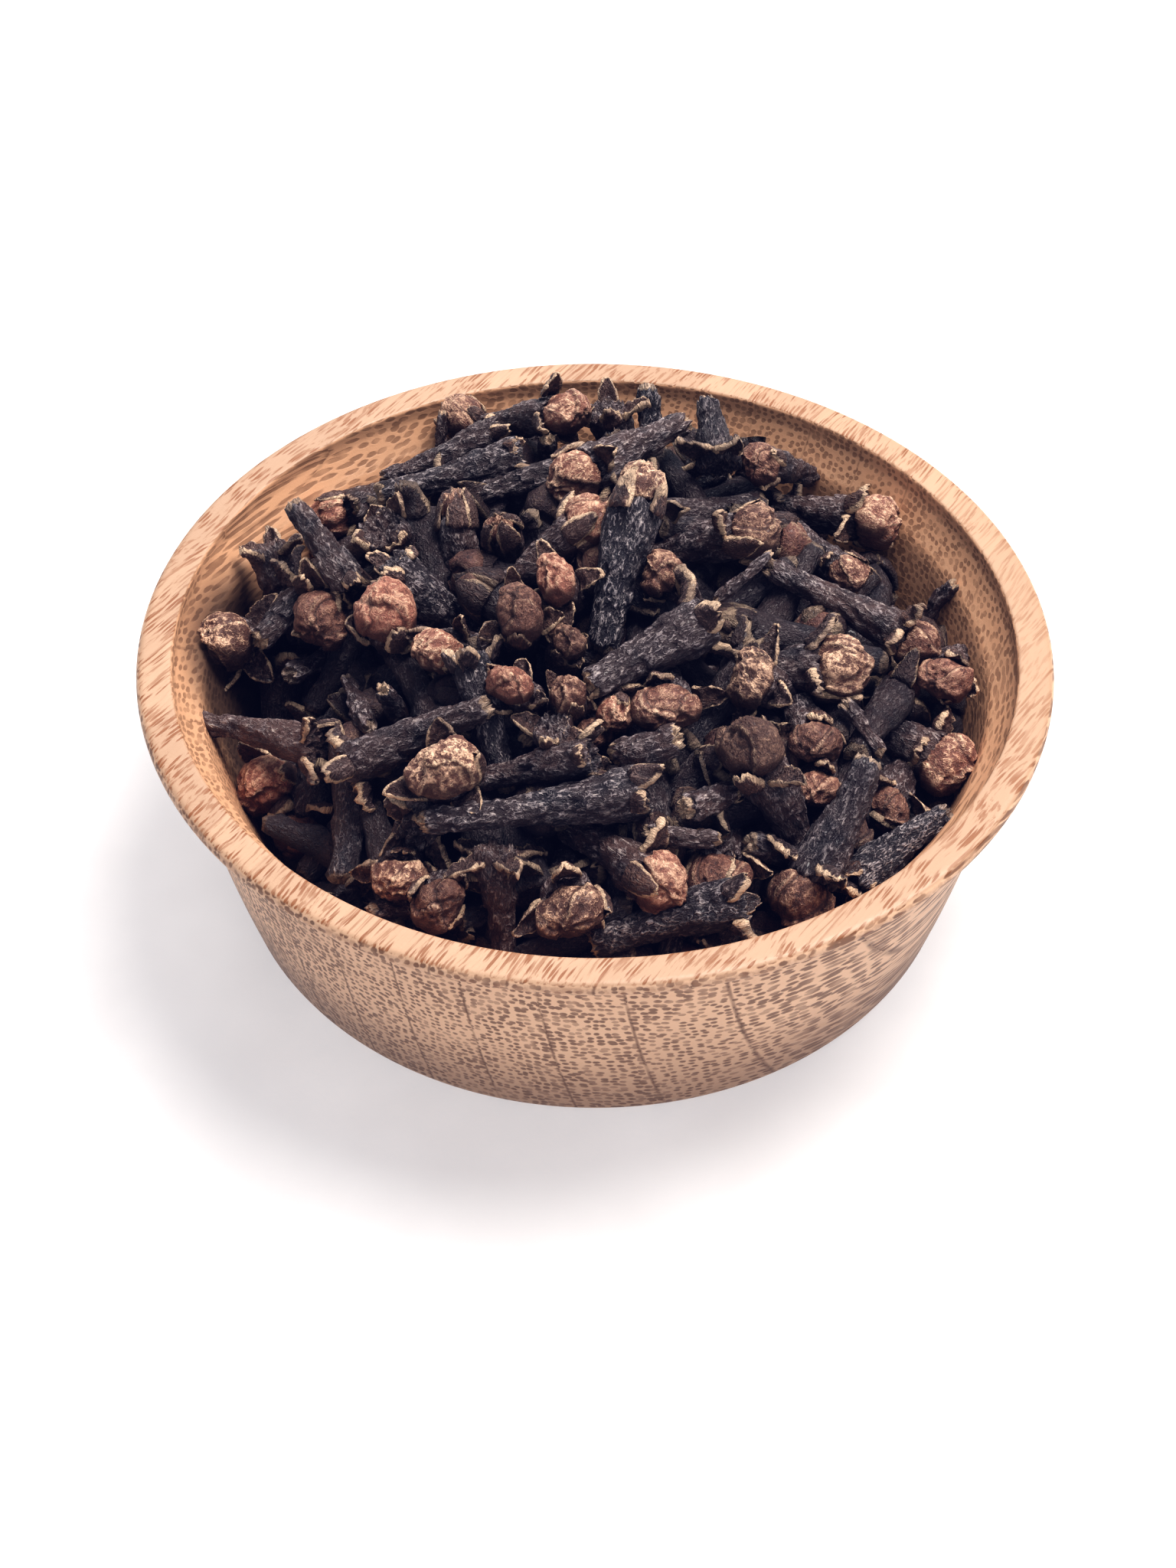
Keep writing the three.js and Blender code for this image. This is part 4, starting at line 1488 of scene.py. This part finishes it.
class CLOVES_OT_core(bpy.types.Operator):
    """Shrinks a copy of the heap's outline to the dark core under the cloves, whose colour is painted shadow.
    """

    bl_idname = "cloves.core"
    bl_label = "Core"

    def execute(self, context):
        shape = merged_heap()
        mesh = bpy.data.meshes.new("clove_core")
        shape.to_mesh(mesh)
        shape.free()
        core = bpy.data.objects.new("clove_core", mesh)
        context.scene.collection.objects.link(core)
        mesh.transform(Matrix.Translation((0, 0, -HEAP_FOOT)))
        mesh.transform(Matrix.Diagonal((CORE_ACROSS, CORE_ACROSS, CORE_HIGH, 1)))
        mesh.transform(Matrix.Translation((0, 0, HEAP_FOOT)))
        lumps = cloud_texture("core_lumps", CORE_LUMP_SIZE)
        apply_modifier(core, "SUBSURF", levels=1, render_levels=1)
        apply_modifier(core, "DISPLACE", texture=lumps, strength=CORE_LUMP_DEPTH, mid_level=CORE_LUMP_LEVEL)
        activate(core)
        bpy.ops.object.shade_smooth()
        core.data.materials.clear()
        wrinkles = bpy.data.node_groups["Dry wrinkles"]
        core.data.materials.append(core_material(context.scene.clove_settings, wrinkles))
        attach(core, BODY)
        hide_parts("clove_heap")
        return {"FINISHED"}


# ---------------------------------------------------------------- stage


# Name, place, width, the setting that holds its power, and colour
LIGHTS = (
    ("key_light", (0.19, 0.13, 0.60), 0.40, "key_power", (1.0, 0.965, 0.91)),
    ("back_light", (-0.10, 0.55, 0.40), 0.40, "fill_power", (1.0, 0.99, 0.98)),
    ("front_light", (0.14, -0.48, 0.10), 0.35, "front_power", (1.0, 0.98, 0.96)),
)
LIT_PLACE = Vector((0, 0, 0.02))
FLOOR_WIDTH = 4.0
SKY_COLOUR = (0.84, 0.91, 1.0, 1)
PAPER_COLOURS = ((0.452, 0.439, 0.441, 1), (0.482, 0.469, 0.471, 1))


def floor_material():
    material, tree = new_material("studio_paper")
    place = node(tree, "TexCoord", {}, "Object")
    colour = mixed(ramp(noise(place, 60.0, 3.0), 0.3, 0.7), *PAPER_COLOURS)
    surface = {"Base Color": colour, "Roughness": 0.9, "Specular IOR Level": 0.1,
               "Emission Color": colour, "Emission Strength": 0.82}
    return finished(material, surface, noise(place, 1400.0), 0.15, 0.1)


def area_light(name, place, size, power, colour):
    deselect_all()
    bpy.ops.object.light_add(type="AREA", location=place)
    light = bpy.context.object
    light.name = name
    light.data.shape = "DISK"
    light.data.size = size
    light.data.energy = power
    light.data.color = colour
    light.rotation_euler = (LIT_PLACE - Vector(place)).to_track_quat("-Z", "Y").to_euler()


class CLOVES_OT_stage(bpy.types.Operator):
    """Sets the pale floor, the soft studio light and the camera."""

    bl_idname = "cloves.stage"
    bl_label = "Stage"

    def execute(self, context):
        scene = context.scene
        settings = scene.stage_settings
        deselect_all()
        bpy.ops.mesh.primitive_plane_add(size=FLOOR_WIDTH, location=(0, 0, 0))
        floor = context.object
        floor.name = "floor"
        floor.data.materials.append(floor_material())
        for name, place, size, power, colour in LIGHTS:
            area_light(name, place, size, getattr(settings, power), colour)
        scene.world = bpy.data.worlds.new("studio")
        scene.world.use_nodes = True
        background = scene.world.node_tree.nodes["Background"]
        background.inputs["Color"].default_value = SKY_COLOUR
        background.inputs["Strength"].default_value = settings.sky
        view = camera_view(settings)
        camera = bpy.data.objects.new("camera", bpy.data.cameras.new("camera"))
        scene.collection.objects.link(camera)
        camera.data.sensor_fit = "AUTO"
        camera.data.sensor_width = SENSOR
        camera.data.lens = settings.lens
        camera.data.clip_start = 0.01
        axes = Matrix((view.right, view.up, -view.ahead)).transposed()
        camera.matrix_world = Matrix.Translation(view.eye) @ axes.to_4x4()
        scene.camera = camera
        scene.view_settings.view_transform = "Standard"
        scene.view_settings.look = "High Contrast"
        scene.view_settings.use_curve_mapping = True
        levels = scene.view_settings.curve_mapping
        levels.black_level = [-value for value in settings.black_tint]
        levels.update()
        return {"FINISHED"}


# ---------------------------------------------------------------- panel and run


OPERATORS = (CLOVES_OT_stage, CLOVES_OT_bowl, CLOVES_OT_cloves, CLOVES_OT_core)


class CLOVES_PT_panel(bpy.types.Panel):
    """Sizes, colours and steps of the bowl of cloves."""

    bl_label = "Bowl of cloves"
    bl_idname = "CLOVES_PT_panel"
    bl_space_type = "VIEW_3D"
    bl_region_type = "UI"
    bl_category = "Cloves"

    def draw(self, context):
        for name, group in GROUPS.items():
            box = self.layout.box()
            box.label(text=group.__doc__)
            for setting in group.__annotations__:
                box.prop(getattr(context.scene, name), setting)
        for operator in OPERATORS:
            self.layout.operator(operator.bl_idname)


def register():
    for name, group in GROUPS.items():
        bpy.utils.register_class(group)
        setattr(bpy.types.Scene, name, bpy.props.PointerProperty(type=group))
    for operator in OPERATORS:
        bpy.utils.register_class(operator)
    bpy.utils.register_class(CLOVES_PT_panel)


def unregister():
    bpy.utils.unregister_class(CLOVES_PT_panel)
    for operator in reversed(OPERATORS):
        bpy.utils.unregister_class(operator)
    for name, group in reversed(GROUPS.items()):
        delattr(bpy.types.Scene, name)
        bpy.utils.unregister_class(group)


def main():
    register()
    bpy.ops.cloves.stage()
    bpy.ops.cloves.bowl()
    bpy.ops.cloves.cloves()
    bpy.ops.cloves.core()
    deselect_all()


if __name__ == "__main__":
    main()
